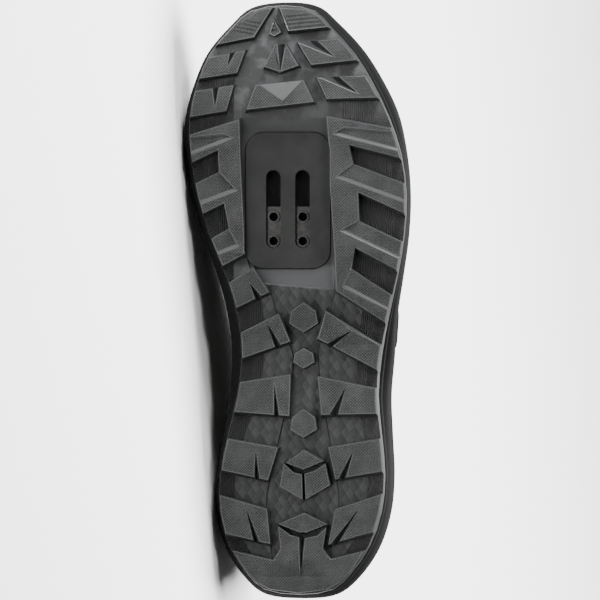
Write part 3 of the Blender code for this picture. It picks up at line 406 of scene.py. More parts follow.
# What the cuts and the rounded rims of the tread are measured by: how near points are one, how
# far a rim is drawn in and lowered, how long its corners get, which slopes and depths count as a
# lug's face, a facet or the base, which turns of an edge stay sharp, and the cells' size
MERGE = 0.000002
ON_PLANE = 0.000001
EDGE_ROUND = 0.0005
EDGE_DROP = 0.0004
THIN_CORNER = 0.5
LONGEST_STEP = 1.6
FACE_DEPTH = 0.0010
FACE_ALONG = math.cos(math.radians(6))
FACET_DOWN = -0.75
FACET_DEPTH = 0.7 * LUG_DEPTH
BASE_DOWN = -0.7
BASE_FROM = 0.8 * LUG_DEPTH
BASE_TO = 1.5 * LUG_DEPTH
STEEP = 0.6
COPLANAR = math.radians(0.6)
SLOPE_STEP = 0.004
FACET_TURN = math.radians(14)
HARD_TURN = math.radians(52)
CELL = 0.004
LEVEL_SLACK = 0.00025

# The base slopes down to the cleat plate in front of it and behind it
SLOPE_DEPTH = 0.0012
FRONT_SLOPE = 0.0065
REAR_SLOPE = 0.0095
SLOPE_HALF = 0.0215
SLOPE_FADE = 0.003

# The sunk face on each arm of the rails, as corners (at, across) from its inner point.
SUNK_DEPTH = 0.0006
SUNK_SLOPE = 0.0012
SUNK_FACES = [
    [(0.7755, 0.157), (0.7870, 0.205), (0.7765, 0.515), (0.7405, 0.540)],
    [(0.7045, 0.168), (0.7285, 0.258), (0.6990, 0.540), (0.6530, 0.560)],
    [(0.6150, 0.188), (0.6340, 0.288), (0.6000, 0.540), (0.5560, 0.540)],
    [(0.5215, 0.200), (0.5550, 0.248), (0.5120, 0.500), (0.4680, 0.490)],
    [(0.7690, -0.318), (0.7765, -0.364), (0.7690, -0.580), (0.7340, -0.575)],
    [(0.6820, -0.300), (0.7160, -0.388), (0.6990, -0.560), (0.6500, -0.540)],
    [(0.5890, -0.290), (0.6220, -0.342), (0.6080, -0.500), (0.5640, -0.470)],
]
# Notches that run on to their points: point and mouth corners (at, across), and the depth at
# the mouth as a share of the lugs' depth
Notch = namedtuple("Notch", "tip first second depth")
LONG_NOTCHES = [
    Notch((0.876, -0.0975), (0.926, -0.115), (0.926, -0.077), 0.95),
    Notch((0.0365, 0.001), (0.0755, -0.0024), (0.0755, 0.0150), 0.55),
]
NOTCH_FLOOR = 0.62
NOTCH_LEAD = 0.0003

# Ridges across the two lugs at the toe: two points of each lug's rear edge (at, across)
RIDGE_PITCH = 0.0019
RIDGE_DEPTH = 0.0006
RIDGE_COUNT = 4
TOE_LUG_EDGES = [
    [(0.949, -0.066), (0.956, 0.129)],
    [(0.939, -0.226), (0.927, -0.400)],
]


def cad_in_shoe_axes(name):
    """The mesh of one of the solids, in the shoe's axes, as a bmesh."""
    work = bmesh.new()
    work.from_mesh(frame["nodes"][name].data)
    bmesh.ops.transform(work, matrix=SHOE.inverted(), verts=work.verts)
    bmesh.ops.remove_doubles(work, verts=work.verts, dist=MERGE)
    return work


def cut(work, cutters):
    """The mesh less the cutters, both as bmeshes."""
    body, tool = place_mesh("cut_body", work), place_mesh("cut_tool", cutters)
    modifier = body.modifiers.new("cut", "BOOLEAN")
    modifier.object = tool
    modifier.operation = "DIFFERENCE"
    modifier.solver = "EXACT"
    modifier.use_self = True
    graph = bpy.context.evaluated_depsgraph_get()
    result = bmesh.new()
    result.from_mesh(body.evaluated_get(graph).to_mesh())
    for item in (body, tool):
        mesh = item.data
        bpy.data.objects.remove(item)
        bpy.data.meshes.remove(mesh)
    bmesh.ops.remove_doubles(result, verts=result.verts, dist=MERGE)
    return result


def turn_outwards(work):
    bmesh.ops.recalc_face_normals(work, faces=work.faces)


def points_of(faces):
    return {v for face in faces for v in face.verts}


def bisect(work, faces, spot, normal):
    """Cuts faces along a plane, and gives back all their parts."""
    parts = list(points_of(faces)) + list({edge for face in faces for edge in face.edges}) + faces
    result = bmesh.ops.bisect_plane(work, geom=parts, dist=ON_PLANE, plane_co=spot, plane_no=normal)
    return [item for item in result["geom"] if isinstance(item, bmesh.types.BMFace)]


def add_layers(work, layers):
    """A closed block through plan outlines, each with its height as a function of the station."""
    rows = [[work.verts.new((x, y, height(x / LENGTH))) for x, y in plan] for plan, height in layers]
    for low, high in zip(rows, rows[1:]):
        for i in range(len(low)):
            j = (i + 1) % len(low)
            work.faces.new((low[i], low[j], high[j], high[i]))
    work.faces.new(rows[0][::-1])
    work.faces.new(rows[-1])


def relief_cutters():
    """What is cut from the lug faces: the arms' sunk faces and the toe's grooves."""
    work = bmesh.new()

    def above(at):
        return tread_height(at) - LUG_DEPTH

    def sunk(at):
        return tread_height(at) + SUNK_DEPTH

    for corners in SUNK_FACES:
        plan = [lay(*corner).xy for corner in corners]
        along = (plan[0] - plan[-1]).normalized()
        towards_toe = Vector((abs(along.y), -math.copysign(along.x, along.y)))
        floor_plan = list(plan)
        floor_plan[0] = plan[0] + towards_toe * SUNK_SLOPE
        floor_plan[-1] = plan[-1] + towards_toe * SUNK_SLOPE
        add_layers(work, [(plan, above), (plan, tread_height), (floor_plan, sunk)])
    for row in LONG_NOTCHES:
        tip, first, second = (lay(*corner) for corner in row[:3])
        floor = first + (second - first) * NOTCH_FLOOR
        for point in (tip, first, second):
            point.z = tread_height(point.x / LENGTH) - NOTCH_LEAD
        floor.z = tread_height(floor.x / LENGTH) + LUG_DEPTH * row.depth
        a, b, c, d = (work.verts.new(point) for point in (tip, first, second, floor))
        for side in ((a, b, c), (a, c, d), (a, d, b), (b, d, c)):
            work.faces.new(side)
    bmesh.ops.triangulate(work, faces=work.faces)
    turn_outwards(work)
    return work


def below_tread(face):
    """How far a face's centre lies in from the tread's surface."""
    centre = face.calc_center_median()
    return centre.z - tread_height(centre.x / LENGTH)


def is_lug_face(face):
    """True for a face that lies along the tread's surface, or a little sunk."""
    at = face.calc_center_median().x / LENGTH
    slope = (tread_height(at + SLOPE_STEP) - tread_height(at - SLOPE_STEP)) / (2 * SLOPE_STEP * LENGTH)
    outward = Vector((slope, 0, -1)).normalized()
    return face.normal.dot(outward) > FACE_ALONG and below_tread(face) < FACE_DEPTH


def is_facet(face):
    """True for a slope that is cut into a lug's face."""
    return face.normal.z < FACET_DOWN and below_tread(face) < FACET_DEPTH


def is_base_face(face):
    return face.normal.z < BASE_DOWN and BASE_FROM < below_tread(face) < BASE_TO


def regions(faces):
    """Groups of faces joined by shared edges."""
    left = set(faces)
    found = []
    while left:
        group, front = set(), [left.pop()]
        while front:
            face = front.pop()
            group.add(face)
            for edge in face.edges:
                for other in edge.link_faces:
                    if other in left:
                        left.remove(other)
                        front.append(other)
        found.append(group)
    return found


def inset_step(along_in, inwards_in, along_out, inwards_out):
    """From a corner of a region to its inset corner, from the two sides that meet there."""
    middle = inwards_in + inwards_out
    if middle.length > THIN_CORNER:
        return middle.normalized() * min(EDGE_ROUND * 2 / middle.length, EDGE_ROUND * LONGEST_STEP)
    past = along_in - along_out
    if inwards_in.dot(along_out) > 0:
        past = -past
    return past.normalized() * EDGE_ROUND


def round_rims(work, faces):
    """Draws the faces in from their rims and lowers the rims, so that edges are rounded."""
    steepest = {}
    for face in faces:
        for v in face.verts:
            if v in steepest:
                continue
            down = [edge.other_vert(v).co - v.co for edge in v.link_edges]
            down = [d.normalized() for d in down if d.z > EDGE_DROP * 2]
            steepest[v] = max(down, key=lambda d: d.z, default=None)
    result = bmesh.ops.inset_region(
        work,
        faces=list(faces),
        thickness=EDGE_ROUND,
        use_boundary=True,
        use_even_offset=True,
    )
    rim = set(result["faces"])
    inner = points_of(faces)
    sides = {}
    partner = {}
    for face in rim:
        for loop in face.loops:
            first, second = loop.vert, loop.link_loop_next.vert
            if first in inner and second not in inner:
                partner[second] = first
            if first not in inner and second in inner:
                partner[first] = second
            if first not in inner and second not in inner:
                along = (second.co - first.co).normalized()
                sides.setdefault(first, {})["out"] = (along, face.normal.cross(along))
                sides.setdefault(second, {})["in"] = (along, face.normal.cross(along))
    for near, far in partner.items():
        ends = sides.get(near, {})
        if len(ends) == 2:
            far.co = near.co + inset_step(*ends["in"], *ends["out"])
    for v in points_of(rim) - inner:
        direction = steepest.get(v)
        if direction is not None and direction.z > STEEP:
            v.co += direction * (EDGE_DROP / direction.z)
    return rim


def grid_cut(work, faces, cell):
    """Cuts faces along lines a cell apart both ways, for values held at their corners."""
    faces = list(faces)
    for axis in (0, 1):
        values = [v.co[axis] for v in points_of(faces)]
        low, high = min(values), max(values)
        for k in range(1, int((high - low) / cell) + 1):
            spot, normal = Vector(), Vector()
            spot[axis] = low + k * cell
            normal[axis] = 1
            faces = bisect(work, faces, spot, normal)
    return faces


def add_ridges(work, faces):
    """Raises low ridges along the rear edges of the two lugs at the toe."""
    for ends in TOE_LUG_EDGES:
        start, end = (lay(*corner) for corner in ends)
        along = (end - start).normalized()
        forwards = Vector((abs(along.y), -math.copysign(along.x, along.y), 0))
        middle = (start + end) / 2
        lug = [
            face
            for face in faces
            if abs((face.calc_center_median() - middle).dot(along)) < (end - start).length
            and -RIDGE_PITCH < (face.calc_center_median() - middle).dot(forwards) < 7 * RIDGE_PITCH
        ]
        faces -= set(lug)
        for k in range(1, 2 * RIDGE_COUNT + 1):
            lug = bisect(work, lug, start + forwards * (k * RIDGE_PITCH / 2), forwards)
        faces |= set(lug)
        for v in points_of(lug):
            steps = (v.co - start).dot(forwards) / RIDGE_PITCH
            if 0 < steps < RIDGE_COUNT:
                v.co.z += RIDGE_DEPTH * (1 - abs(2 * (steps % 1) - 1))


def slope_to_plate(faces):
    """Lowers the base towards the cleat plate in front of it and behind it."""
    front = PLATE_AT * LENGTH + PLATE_LENGTH / 2
    rear = PLATE_AT * LENGTH - PLATE_LENGTH / 2
    for v in points_of(faces):
        aside = abs(v.co.y - PLATE_ACROSS * BALL_WIDTH)
        near = 1 - ramp(aside, SLOPE_HALF, SLOPE_HALF + SLOPE_FADE)
        down = ramp(v.co.x, front + FRONT_SLOPE, front) * ramp(v.co.x, rear - REAR_SLOPE, rear)
        v.co.z += SLOPE_DEPTH * near * down


def level_out(verts, level):
    """Puts the points that all but lie along the tread's curved surface right on their level."""
    for v in verts:
        off = v.co.z - tread_height(v.co.x / LENGTH) - level
        if abs(off) < LEVEL_SLACK:
            v.co.z -= off


def area(face):
    return face.calc_area()


def folded(faces):
    """True where drawing in the rim has turned one of the faces over."""
    for face in faces:
        face.normal_update()
    return any(face.normal.z > 0 for face in faces)


def join_and_split(work, group):
    """Joins a region's faces to one and cuts it into triangles anew."""
    joined = set(bmesh.ops.dissolve_faces(work, faces=group)["region"])
    joined |= {face for face in group if face.is_valid}
    return bmesh.ops.triangulate(work, faces=list(joined), ngon_method="BEAUTY")["faces"]


def joins_well(work, group):
    """Tries on a copy whether a folded region comes out whole when it is filled anew."""
    work.faces.index_update()
    trial = work.copy()
    trial.faces.ensure_lookup_table()
    whole = not folded(join_and_split(trial, [trial.faces[face.index] for face in group]))
    trial.free()
    return whole


def fill_again(work, group, level):
    """Cuts a region into small cells that lie on the tread's curve, after mending its folds."""
    if folded(group) and joins_well(work, group):
        group = join_and_split(work, group)
    parts = set(grid_cut(work, group, CELL))
    level_out(points_of(parts), level)
    return parts


FACE, RIM, WALL, BASE = range(4)


def tread():
    """The moulded rubber, with its edges rounded and the relief on its lugs."""
    work = cut(cad_in_shoe_axes("outsole"), relief_cutters())
    bmesh.ops.dissolve_limit(
        work, angle_limit=COPLANAR, verts=work.verts, edges=work.edges, delimit={"NORMAL"}
    )
    level_out(work.verts, 0)
    work.normal_update()
    faces = [face for face in work.faces if is_lug_face(face)]
    rims = set()
    lug_faces = set()
    for group in regions(faces):
        level = SUNK_DEPTH if below_tread(max(group, key=area)) > SUNK_DEPTH / 2 else 0
        group = bmesh.ops.triangulate(work, faces=list(group))["faces"]
        rims |= round_rims(work, group)
        lug_faces |= fill_again(work, group, level)
    add_ridges(work, lug_faces)
    work.normal_update()
    base = [face for face in work.faces if is_base_face(face)]
    base = bmesh.ops.triangulate(work, faces=base, ngon_method="BEAUTY")["faces"]
    base = grid_cut(work, base, CELL)
    slope_to_plate(base)
    base_faces = set(base)
    facets = {face for face in work.faces if face not in rims and is_facet(face)}
    for face in work.faces:
        if face in lug_faces:
            face.material_index = FACE
        elif face in rims or face in facets:
            face.material_index = RIM
        elif face in base_faces:
            face.material_index = BASE
        else:
            face.material_index = WALL
    for edge in work.edges:
        plain = not any(face in rims for face in edge.link_faces)
        if len(edge.link_faces) == 2 and edge.calc_face_angle(0) > (FACET_TURN if plain else HARD_TURN):
            edge.smooth = False
    bmesh.ops.triangulate(work, faces=work.faces, ngon_method="BEAUTY")
    inward = work.verts.layers.float.new("edge_mm")
    depth = work.verts.layers.float.new("depth_mm")
    for v in work.verts:
        v[inward] = from_edge(v.co.x, v.co.y) * MILLIMETRES
        v[depth] = (v.co.z - tread_height(v.co.x / LENGTH)) * MILLIMETRES
    piece = finish_piece("tread", work, tread_materials(), ["outsole"])
    piece.modifiers.new("even_normals", "WEIGHTED_NORMAL").keep_sharp = True


def rubber(name, colour, roughness, gloss=0.3):
    """Matt rubber: its colour and roughness vary a little, and it is finely grained."""
    n = Nodes(name, colour, roughness, gloss=gloss)
    n.plan = n.attribute("plan", "Vector")
    n.grain = n.noise(n.plan, 2.2, 2.0)
    n.vary(colour, n.noise(n.plan, 0.035, 4.0), 0.2, 0.86, 1.16)
    n.set("Roughness", n.mapped(n.grain, 0.25, 0.75, roughness - 0.07, roughness + 0.07))
    return n


def grained_rubber(name, colour, roughness, gloss, depth=0.00003):
    """The same with nothing but its grain on it."""
    n = rubber(name, colour, roughness, gloss)
    n.grained(depth=depth)
    return n.made


# The tread's fine relief, in millimetres: pitches, and the rhombs' length and width
KNURL_PITCH = 0.95
HATCH_PITCH = 0.9
CELL_LONG = 6.4
CELL_WIDE = 4.3
# Where along and across the sole each kind starts: the hatching turns so far from the edge, the
# rhombs start further in the further forwards, and the pocket's rear edge is slanted
HATCH_TURN = 5.2
SOFT = 0.4
RHOMBS_FROM = (70.0, 175.0, 7.6, 15.0)
POCKET_REAR = 150.0
POCKET_SLANT = 0.09
POCKET_OFF = 6.3
POCKET_HALF = 26.0
SCOOP_FRONT = 161.0
TOE_STARTS = (226.0, 240.0)
TOE_FADE = (246.0, 258.0)


def tread_face_material():
    """Lug faces with a fine diamond knurl."""
    n = rubber("tread_face", (0.031, 0.032, 0.0325), 0.55, 0.2)
    x, y, _ = n.split(n.plan)
    slants = [n.triangle(value, KNURL_PITCH * math.sqrt(2)) for value in (n.plus(x, y), n.minus(x, y))]
    knurl = n.math("MINIMUM", *slants)
    patches = n.mapped(n.noise(n.plan, 0.09, 2.0), 0.35, 0.62, 0.7, 1.0, smooth=True)
    # Painted shade: the knurl's valleys are painted darker than its tops, for the shade in the small hollows.
    valley_shade = n.times(n.mapped(knurl, 0.05, 0.45, 1.0, 0.0), patches)
    n.set("Base Color", n.tint(valley_shade, n.colour, (0.008, 0.0083, 0.0085)))
    n.grained(n.bump(n.times(knurl, patches), 0.00045))
    return n.made


def tread_base_material():
    """Between the lugs: hatched near the edge, soft rhombs towards the middle."""
    n = rubber("tread_base", (0.017, 0.0175, 0.018), 0.52, 0.25)
    x, y, _ = n.split(n.plan)
    inward = n.attribute("edge_mm")
    straight = n.wave(y, HATCH_PITCH)
    slanted = n.wave(n.plus(n.math("ABSOLUTE", y), x), HATCH_PITCH * math.sqrt(2))
    hatch = n.mix(n.mapped(inward, HATCH_TURN, HATCH_TURN + SOFT), slanted, straight)
    long, wide = n.math("DIVIDE", x, CELL_LONG), n.math("DIVIDE", y, CELL_WIDE)
    u, v = n.plus(long, wide), n.minus(long, wide)
    first, second = n.math("FLOOR", u), n.math("FLOOR", v)
    tone = n.math("FRACT", n.math("DIVIDE", n.math("MULTIPLY_ADD", second, 2.0, first), 3.0))
    tilt = n.times(n.math("FRACT", u), n.math("FRACT", v))
    rhombs = n.mapped(n.minus(inward, n.mapped(x, *RHOMBS_FROM)), -SOFT / 2, SOFT / 2)
    behind = n.mapped(n.math("MULTIPLY_ADD", y, POCKET_SLANT, x), POCKET_REAR, POCKET_REAR - 1)
    inside = n.math("LESS_THAN", n.math("ABSOLUTE", n.plus(y, POCKET_OFF)), POCKET_HALF)
    rhombs_here = n.times(rhombs, behind)
    smooth_pocket = n.times(n.minus(1.0, behind), inside)
    hatch_here = n.minus(1.0, n.math("MAXIMUM", rhombs_here, smooth_pocket))
    hatch_here = n.times(hatch_here, n.mapped(x, *TOE_FADE, 1.0, 0.2))
    normal = n.bump(n.times(hatch, hatch_here), 0.00035)
    height = n.times(n.plus(tone, n.times(tilt, 1.4)), rhombs_here)
    n.grained(n.bump(height, 0.0005, normal=normal))
    # Painted light and shade: each rhomb gets a lighter or darker colour by its tone, for how light falls on
    # its tilted facets.
    painted_facet_light = n.times(n.mapped(tone, 0.0, 0.7, 0.0, 1.0), rhombs_here)
    colour = n.tint(painted_facet_light, (0.014, 0.0143, 0.0146), (0.024, 0.0245, 0.025))
    # Painted shade: the hatched base behind the toe is painted darker, for the shadow deep in the gaps
    # between the lugs.
    painted_recess_shade = n.times(hatch_here, n.mapped(x, *TOE_STARTS, 0.6, 0.0))
    colour = n.tint(painted_recess_shade, colour, (0.005, 0.0052, 0.0054))
    mottle = n.mapped(n.noise(n.plan, 0.11, 3.0), 0.42, 0.62, smooth=True)
    colour = n.tint(n.times(mottle, n.mapped(x, *TOE_STARTS)), colour, (0.040, 0.041, 0.042))
    # Painted shade: the hatch's grooves are painted darker, for the shade that falls in them.
    groove_shade = n.times(n.mapped(hatch, 0.5, 0.1), hatch_here)
    colour = n.tint(groove_shade, colour, (0.006, 0.0062, 0.0064))
    # Painted light: the slope behind the cleat plate is painted lighter, for the light that falls on it.
    painted_scoop_light = n.times(smooth_pocket, n.mapped(x, SCOOP_FRONT, SCOOP_FRONT - 2))
    n.set("Base Color", n.tint(painted_scoop_light, colour, (0.036, 0.037, 0.038)))
    return n.made


def tread_materials():
    """For FACE, RIM, WALL and BASE. The rims are a little lighter than walls and base: partly wear, partly a
    painted highlight along their lit edges.
    """
    rim = grained_rubber("tread_rim", (0.029, 0.030, 0.0305), 0.42, 0.35)
    wall = grained_rubber("tread_wall", (0.014, 0.0145, 0.015), 0.55, 0.2, 0.00004)
    return [tread_face_material(), rim, wall, tread_base_material()]


PLATE_CORNER = 0.0085
PLATE_THICKNESS = 0.003
PLATE_DEPTH = 0.0014
NUT_PLATE_THICKNESS = 0.0022

# The midsole's side in section: share of its height, share of the flare. From the tread up:
# a lip, a groove, a full band, a narrow groove and a second band.
Side = namedtuple("Side", "up out")
SIDE_PROFILE = [
    Side(0.000, 0.10),
    Side(0.020, 0.26),
    Side(0.050, 0.37),
    Side(0.085, 0.38),
    Side(0.115, 0.30),
    Side(0.135, 0.20),
    Side(0.160, 0.20),
    Side(0.185, 0.36),
    Side(0.225, 0.62),
    Side(0.280, 0.80),
    Side(0.350, 0.93),
    Side(0.430, 0.99),
    Side(0.490, 0.96),
    Side(0.520, 0.85),
    Side(0.540, 0.74),
    Side(0.565, 0.74),
    Side(0.585, 0.84),
    Side(0.620, 0.96),
    Side(0.700, 1.00),
    Side(0.800, 0.99),
    Side(0.880, 0.95),
    Side(0.940, 0.88),
    Side(0.980, 0.79),
    Side(1.000, 0.66),
]
SIDE_TOP = 0.72


def add_ring(work, points):
    return [work.verts.new(p) for p in points]


def add_band(work, low, high, closed=True):
    """Quads between two rows of vertices of the same count."""
    last = len(low) if closed else len(low) - 1
    for i in range(last):
        j = (i + 1) % len(low)
        work.faces.new((low[i], low[j], high[j], high[i]))


def add_rows(work, rows):
    """Bands between rows, with a cap across the first and the last."""
    for low, high in zip(rows, rows[1:]):
        add_band(work, low, high)
    add_ladder(work, rows[0])
    add_ladder(work, rows[-1])
    turn_outwards(work)


def add_ladder(work, loop):
    """A cap across a loop, each rung from the lateral to the medial side."""
    half = len(loop) // 2
    work.faces.new((loop[0], loop[1], loop[-1]))
    for i in range(1, half - 1):
        work.faces.new((loop[i], loop[i + 1], loop[-i - 1], loop[-i]))
    work.faces.new((loop[half - 1], loop[half], loop[half + 1]))


def solid_material(name, colour, roughness, metallic, grain_size, grain_depth, gloss):
    """For a solid that stays: a fine grain in millimetres on its own place."""
    n = Nodes(name, colour, roughness, metallic, gloss)
    scaled = n.node("ShaderNodeVectorMath", operation="SCALE")
    n.put(scaled.inputs[0], n.node("ShaderNodeTexCoord").outputs["Object"])
    scaled.inputs["Scale"].default_value = MILLIMETRES
    spot = scaled.outputs[0]
    n.grain = n.noise(spot, grain_size, 2.0)
    n.vary(colour, n.noise(spot, 0.06, 4.0), 0.18, 0.72, 1.3)
    rough = n.mapped(n.noise(spot, 0.35, 3.0), 0.3, 0.7, roughness - 0.06, roughness + 0.08)
    n.set("Roughness", rough)
    n.grained(depth=grain_depth)
    return n.made


def dress_solid(name, made, edge):
    """Gives a solid that stays its material and a small round on its edges."""
    node = frame["nodes"][name]
    for slot in node.material_slots:
        slot.material = made
    modifier = node.modifiers.new("round_edges", "BEVEL")
    modifier.width = edge
    modifier.segments = 2
    modifier.limit_method = "ANGLE"
    modifier.angle_limit = math.radians(40)
    modifier.harden_normals = True


def plates():
    """Smooth nylon round the slots, and blackened steel behind them."""
    nylon = solid_material("plate_nylon", (0.010, 0.010, 0.0104), 0.34, 0.0, 3.0, 0.00001, 0.2)
    steel = solid_material("nut_steel", (0.05, 0.049, 0.047), 0.26, 1.0, 5.0, 0.00001, 0.5)
    dress_solid("cleat_plate", nylon, 0.0005)
    dress_solid("nut_plate", steel, 0.0003)


def rounded_rectangle(length, width, corner, centre, steps):
    """Corners of a rectangle with round corners, as plan points about a centre."""
    points = []
    for quarter in range(4):
        sign_x = 1 if quarter in (0, 3) else -1
        sign_y = 1 if quarter in (0, 1) else -1
        middle_x = centre[0] + sign_x * (length / 2 - corner)
        middle_y = centre[1] + sign_y * (width / 2 - corner)
        for step in range(steps + 1):
            angle = (quarter + step / steps) * math.pi / 2
            points.append((middle_x + corner * math.cos(angle), middle_y + corner * math.sin(angle)))
    return points


def midsole():
    """The grooved side of the sole, with the cup that carries the upper."""
    work = bmesh.new()

    def height_of(up):
        def height(at):
            bottom = base_height(at) + BASE_THICKNESS + SEAM
            return bottom + (rim_height(at) - bottom) * up

        return height

    rows = [add_ring(work, ring(row.out, 0, height_of(row.up))) for row in SIDE_PROFILE]
    rows.append(add_ring(work, ring(SIDE_TOP, -RIM_WALL * 0.75, lambda at: rim_height(at) + SEAM)))
    rows.append(add_ring(work, ring(SIDE_TOP, -RIM_WALL, lambda at: rim_height(at) - SEAM)))
    rows.append(add_ring(work, ring(SIDE_TOP, -RIM_WALL, footbed_height)))
    add_rows(work, rows)
    cutter = bmesh.new()
    centre = (PLATE_AT * LENGTH, PLATE_ACROSS * BALL_WIDTH)
    plan = rounded_rectangle(PLATE_LENGTH + 2 * SEAM, PLATE_WIDTH + 2 * SEAM, PLATE_CORNER, centre, 8)
    face = base_height(PLATE_AT) + PLATE_DEPTH
    recess = face + PLATE_THICKNESS + NUT_PLATE_THICKNESS + 2 * SEAM
    add_layers(cutter, [(plan, lambda at: 0), (plan, lambda at: recess)])
    turn_outwards(cutter)
    work = cut(work, cutter)
    for face in work.faces:
        spot = face.calc_center_median()
        in_length = abs(spot.x - centre[0]) < PLATE_LENGTH / 2 + 2 * SEAM
        in_width = abs(spot.y - centre[1]) < PLATE_WIDTH / 2 + 2 * SEAM
        face.material_index = int(in_length and in_width and spot.z < recess + SEAM)
    for edge in work.edges:
        if len(edge.link_faces) == 2 and edge.calc_face_angle(0) > math.radians(60):
            edge.smooth = False
    n = rubber("side_foam", (0.0052, 0.0053, 0.0056), 0.75, 0.06)
    n.grained(n.bump(n.noise(n.plan, 0.9, 3.0), 0.00006))
    # Painted shade: the foam in the plate's recess is painted darker than the side's foam, for the shade in
    # the recess behind the slots.
    recess_foam_painted_shade = rubber("recess_foam_painted_shade", (0.004, 0.004, 0.004), 0.8, 0.1).made
    finish_piece("midsole_side", work, [n.made, recess_foam_painted_shade], ["midsole"])


# The upper's wall at stations of the outline, from heel to toe. top_at, top_half and
# top_height place its top edge: shares of the length, the ball width and the instep height.
# belly is how far the wall swells past the sole's rim, as a share of the ball width.
# brow is the angle at which the wall reaches the top edge, in degrees from level.
Wall = namedtuple("Wall", "at top_at top_half top_height belly brow")
UPPER = [
    Wall(0.009, 0.036, 0.000, 0.905, 0.034, 92),
    Wall(0.018, 0.039, 0.080, 0.904, 0.034, 92),
    Wall(0.044, 0.050, 0.165, 0.896, 0.036, 90),
    Wall(0.090, 0.084, 0.248, 0.862, 0.036, 86),
    Wall(0.148, 0.140, 0.304, 0.806, 0.034, 82),
    Wall(0.207, 0.202, 0.326, 0.768, 0.036, 78),
    Wall(0.274, 0.272, 0.322, 0.770, 0.040, 74),
    Wall(0.341, 0.338, 0.298, 0.832, 0.046, 68),
    Wall(0.408, 0.402, 0.258, 0.940, 0.050, 60),
    Wall(0.475, 0.460, 0.208, 0.965, 0.044, 46),
    Wall(0.542, 0.524, 0.180, 0.885, 0.038, 36),
    Wall(0.609, 0.588, 0.165, 0.805, 0.034, 30),
    Wall(0.676, 0.650, 0.150, 0.740, 0.032, 24),
    Wall(0.743, 0.700, 0.122, 0.694, 0.032, 16),
    Wall(0.805, 0.734, 0.070, 0.664, 0.034, 8),
    Wall(0.860, 0.752, 0.000, 0.650, 0.036, 2),
    Wall(0.910, 0.800, 0.000, 0.626, 0.038, 0),
    Wall(0.956, 0.846, 0.000, 0.604, 0.040, 0),
    Wall(0.984, 0.884, 0.000, 0.586, 0.040, 0),
    Wall(0.993, 0.898, 0.000, 0.578, 0.040, 0),
]
VAMP_FRONT = 0.845
WALL_LIFT = 0.48
BROW_REACH = 0.40
BRIDGE_REACH = 0.36
Ridge = namedtuple("Ridge", "at across")
RIDGE = [
    Ridge(0.00, -0.005),
    Ridge(0.40, -0.035),
    Ridge(0.70, -0.060),
    Ridge(0.90, -0.080),
    Ridge(1.00, -0.089),
]
PAD_FRONT = 0.36
PAD_FULL = 0.26
PAD_LOW = 0.55
FOOT_IN = -RIM_WALL - SEAM


def wall_curve(index):
    """The four handles of the upper's wall above one point of the loop."""
    foot = ring(SIDE_TOP, FOOT_IN, rim_height)[index]
    side = LATERAL if index <= TOE_INDEX else MEDIAL
    at = STATIONS[index]
    top_x = between(UPPER, at, "top_at") * LENGTH
    half = max(between(UPPER, at, "top_half"), 0.0) * BALL_WIDTH
    if at >= VAMP_FRONT or index in (0, TOE_INDEX):
        half = 0.0
    ridge = between(RIDGE, top_x / LENGTH, "across") * BALL_WIDTH
    top = Vector((top_x, ridge + side * half, between(UPPER, at, "top_height") * INSTEP_HEIGHT))
    out = Vector((*NORMALS[index], 0))
    chord = (top - foot).length
    lift = Vector((0, 0, (top.z - foot.z) * WALL_LIFT))
    swell = foot + out * between(UPPER, at, "belly") * BALL_WIDTH + lift
    away = foot - top
    away.z = 0
    away.normalize()
    brow = math.radians(between(UPPER, at, "brow"))
    slope = away * math.cos(brow) - Vector((0, 0, math.sin(brow)))
    return foot, swell, top + slope * chord * BROW_REACH, top


def bezier(handles, t):
    a, b, c, d = handles
    return a * (1 - t) ** 3 + b * 3 * t * (1 - t) ** 2 + c * 3 * t * t * (1 - t) + d * t**3


CURVES = [wall_curve(i) for i in range(COUNT)]


def sheet_normals(rows, closed):
    """Normals of a grid of points, from its two directions."""
    grid = np.array([[tuple(p) for p in row] for row in rows])
    if closed:
        along = np.roll(grid, -1, axis=1) - np.roll(grid, 1, axis=1)
    else:
        along = np.gradient(grid, axis=1)
    up = np.gradient(grid, axis=0)
    cross = np.cross(up, along)
    cross /= np.maximum(np.linalg.norm(cross, axis=2), 1e-12)[:, :, None]
    return grid, cross


def lengths_along(line):
    """Lengths from a line's first point to each of its points."""
    return np.concatenate([[0.0], np.cumsum(np.linalg.norm(np.diff(line, axis=0), axis=1))])


def read_at(wanted, lengths, values):
    """What a line's points hold, read at lengths along it."""
    return np.stack([np.interp(wanted, lengths, values[:, k]) for k in range(3)], axis=-1)


def round_off(work, edges, offset):
    bmesh.ops.bevel(
        work, geom=edges, offset=offset, segments=3, profile=0.5, affect="EDGES", clamp_overlap=True
    )


# Flex creases over the vamp: station at the ridge, how deep, and how wide in shares of length
Crease = namedtuple("Crease", "at depth width")
CREASES = [
    Crease(0.705, 0.0007, 0.010),
    Crease(0.745, 0.0009, 0.012),
    Crease(0.785, 0.0006, 0.009),
]
CREASE_SWEEP = 0.05
OVERLAY = 0.0007
EYESTAY = 0.0006
EYESTAY_FROM = 0.87
EYESTAY_FRONT = (0.78, 0.84)
STEP_WIDTH = 0.012
ROWS_BELOW = 15
ROWS_BETWEEN = 15
ROWS_ABOVE = 6


def overlay_top(at):
    """How far up the wall the outer overlay reaches: high at toe and heel, low between."""
    toe = 0.44 * ease(at, 0.80, 0.97)
    heel = 0.40 * (1 - ease(at, 0.06, 0.20))
    return 0.20 + toe + heel


def wall_levels(at):
    """Levels of the upper's rows at a station, close together where a panel ends."""
    levels = []
    start = 0.0
    counts = (ROWS_BELOW, ROWS_BETWEEN)
    for count, edge in zip(counts, (overlay_top(at), EYESTAY_FROM)):
        levels += list(np.linspace(start, edge - STEP_WIDTH, count, endpoint=False))
        levels += [edge - STEP_WIDTH, edge - STEP_WIDTH / 3, edge, edge + STEP_WIDTH / 3]
        start = edge + STEP_WIDTH
    return levels + list(np.linspace(start, 1, ROWS_ABOVE))


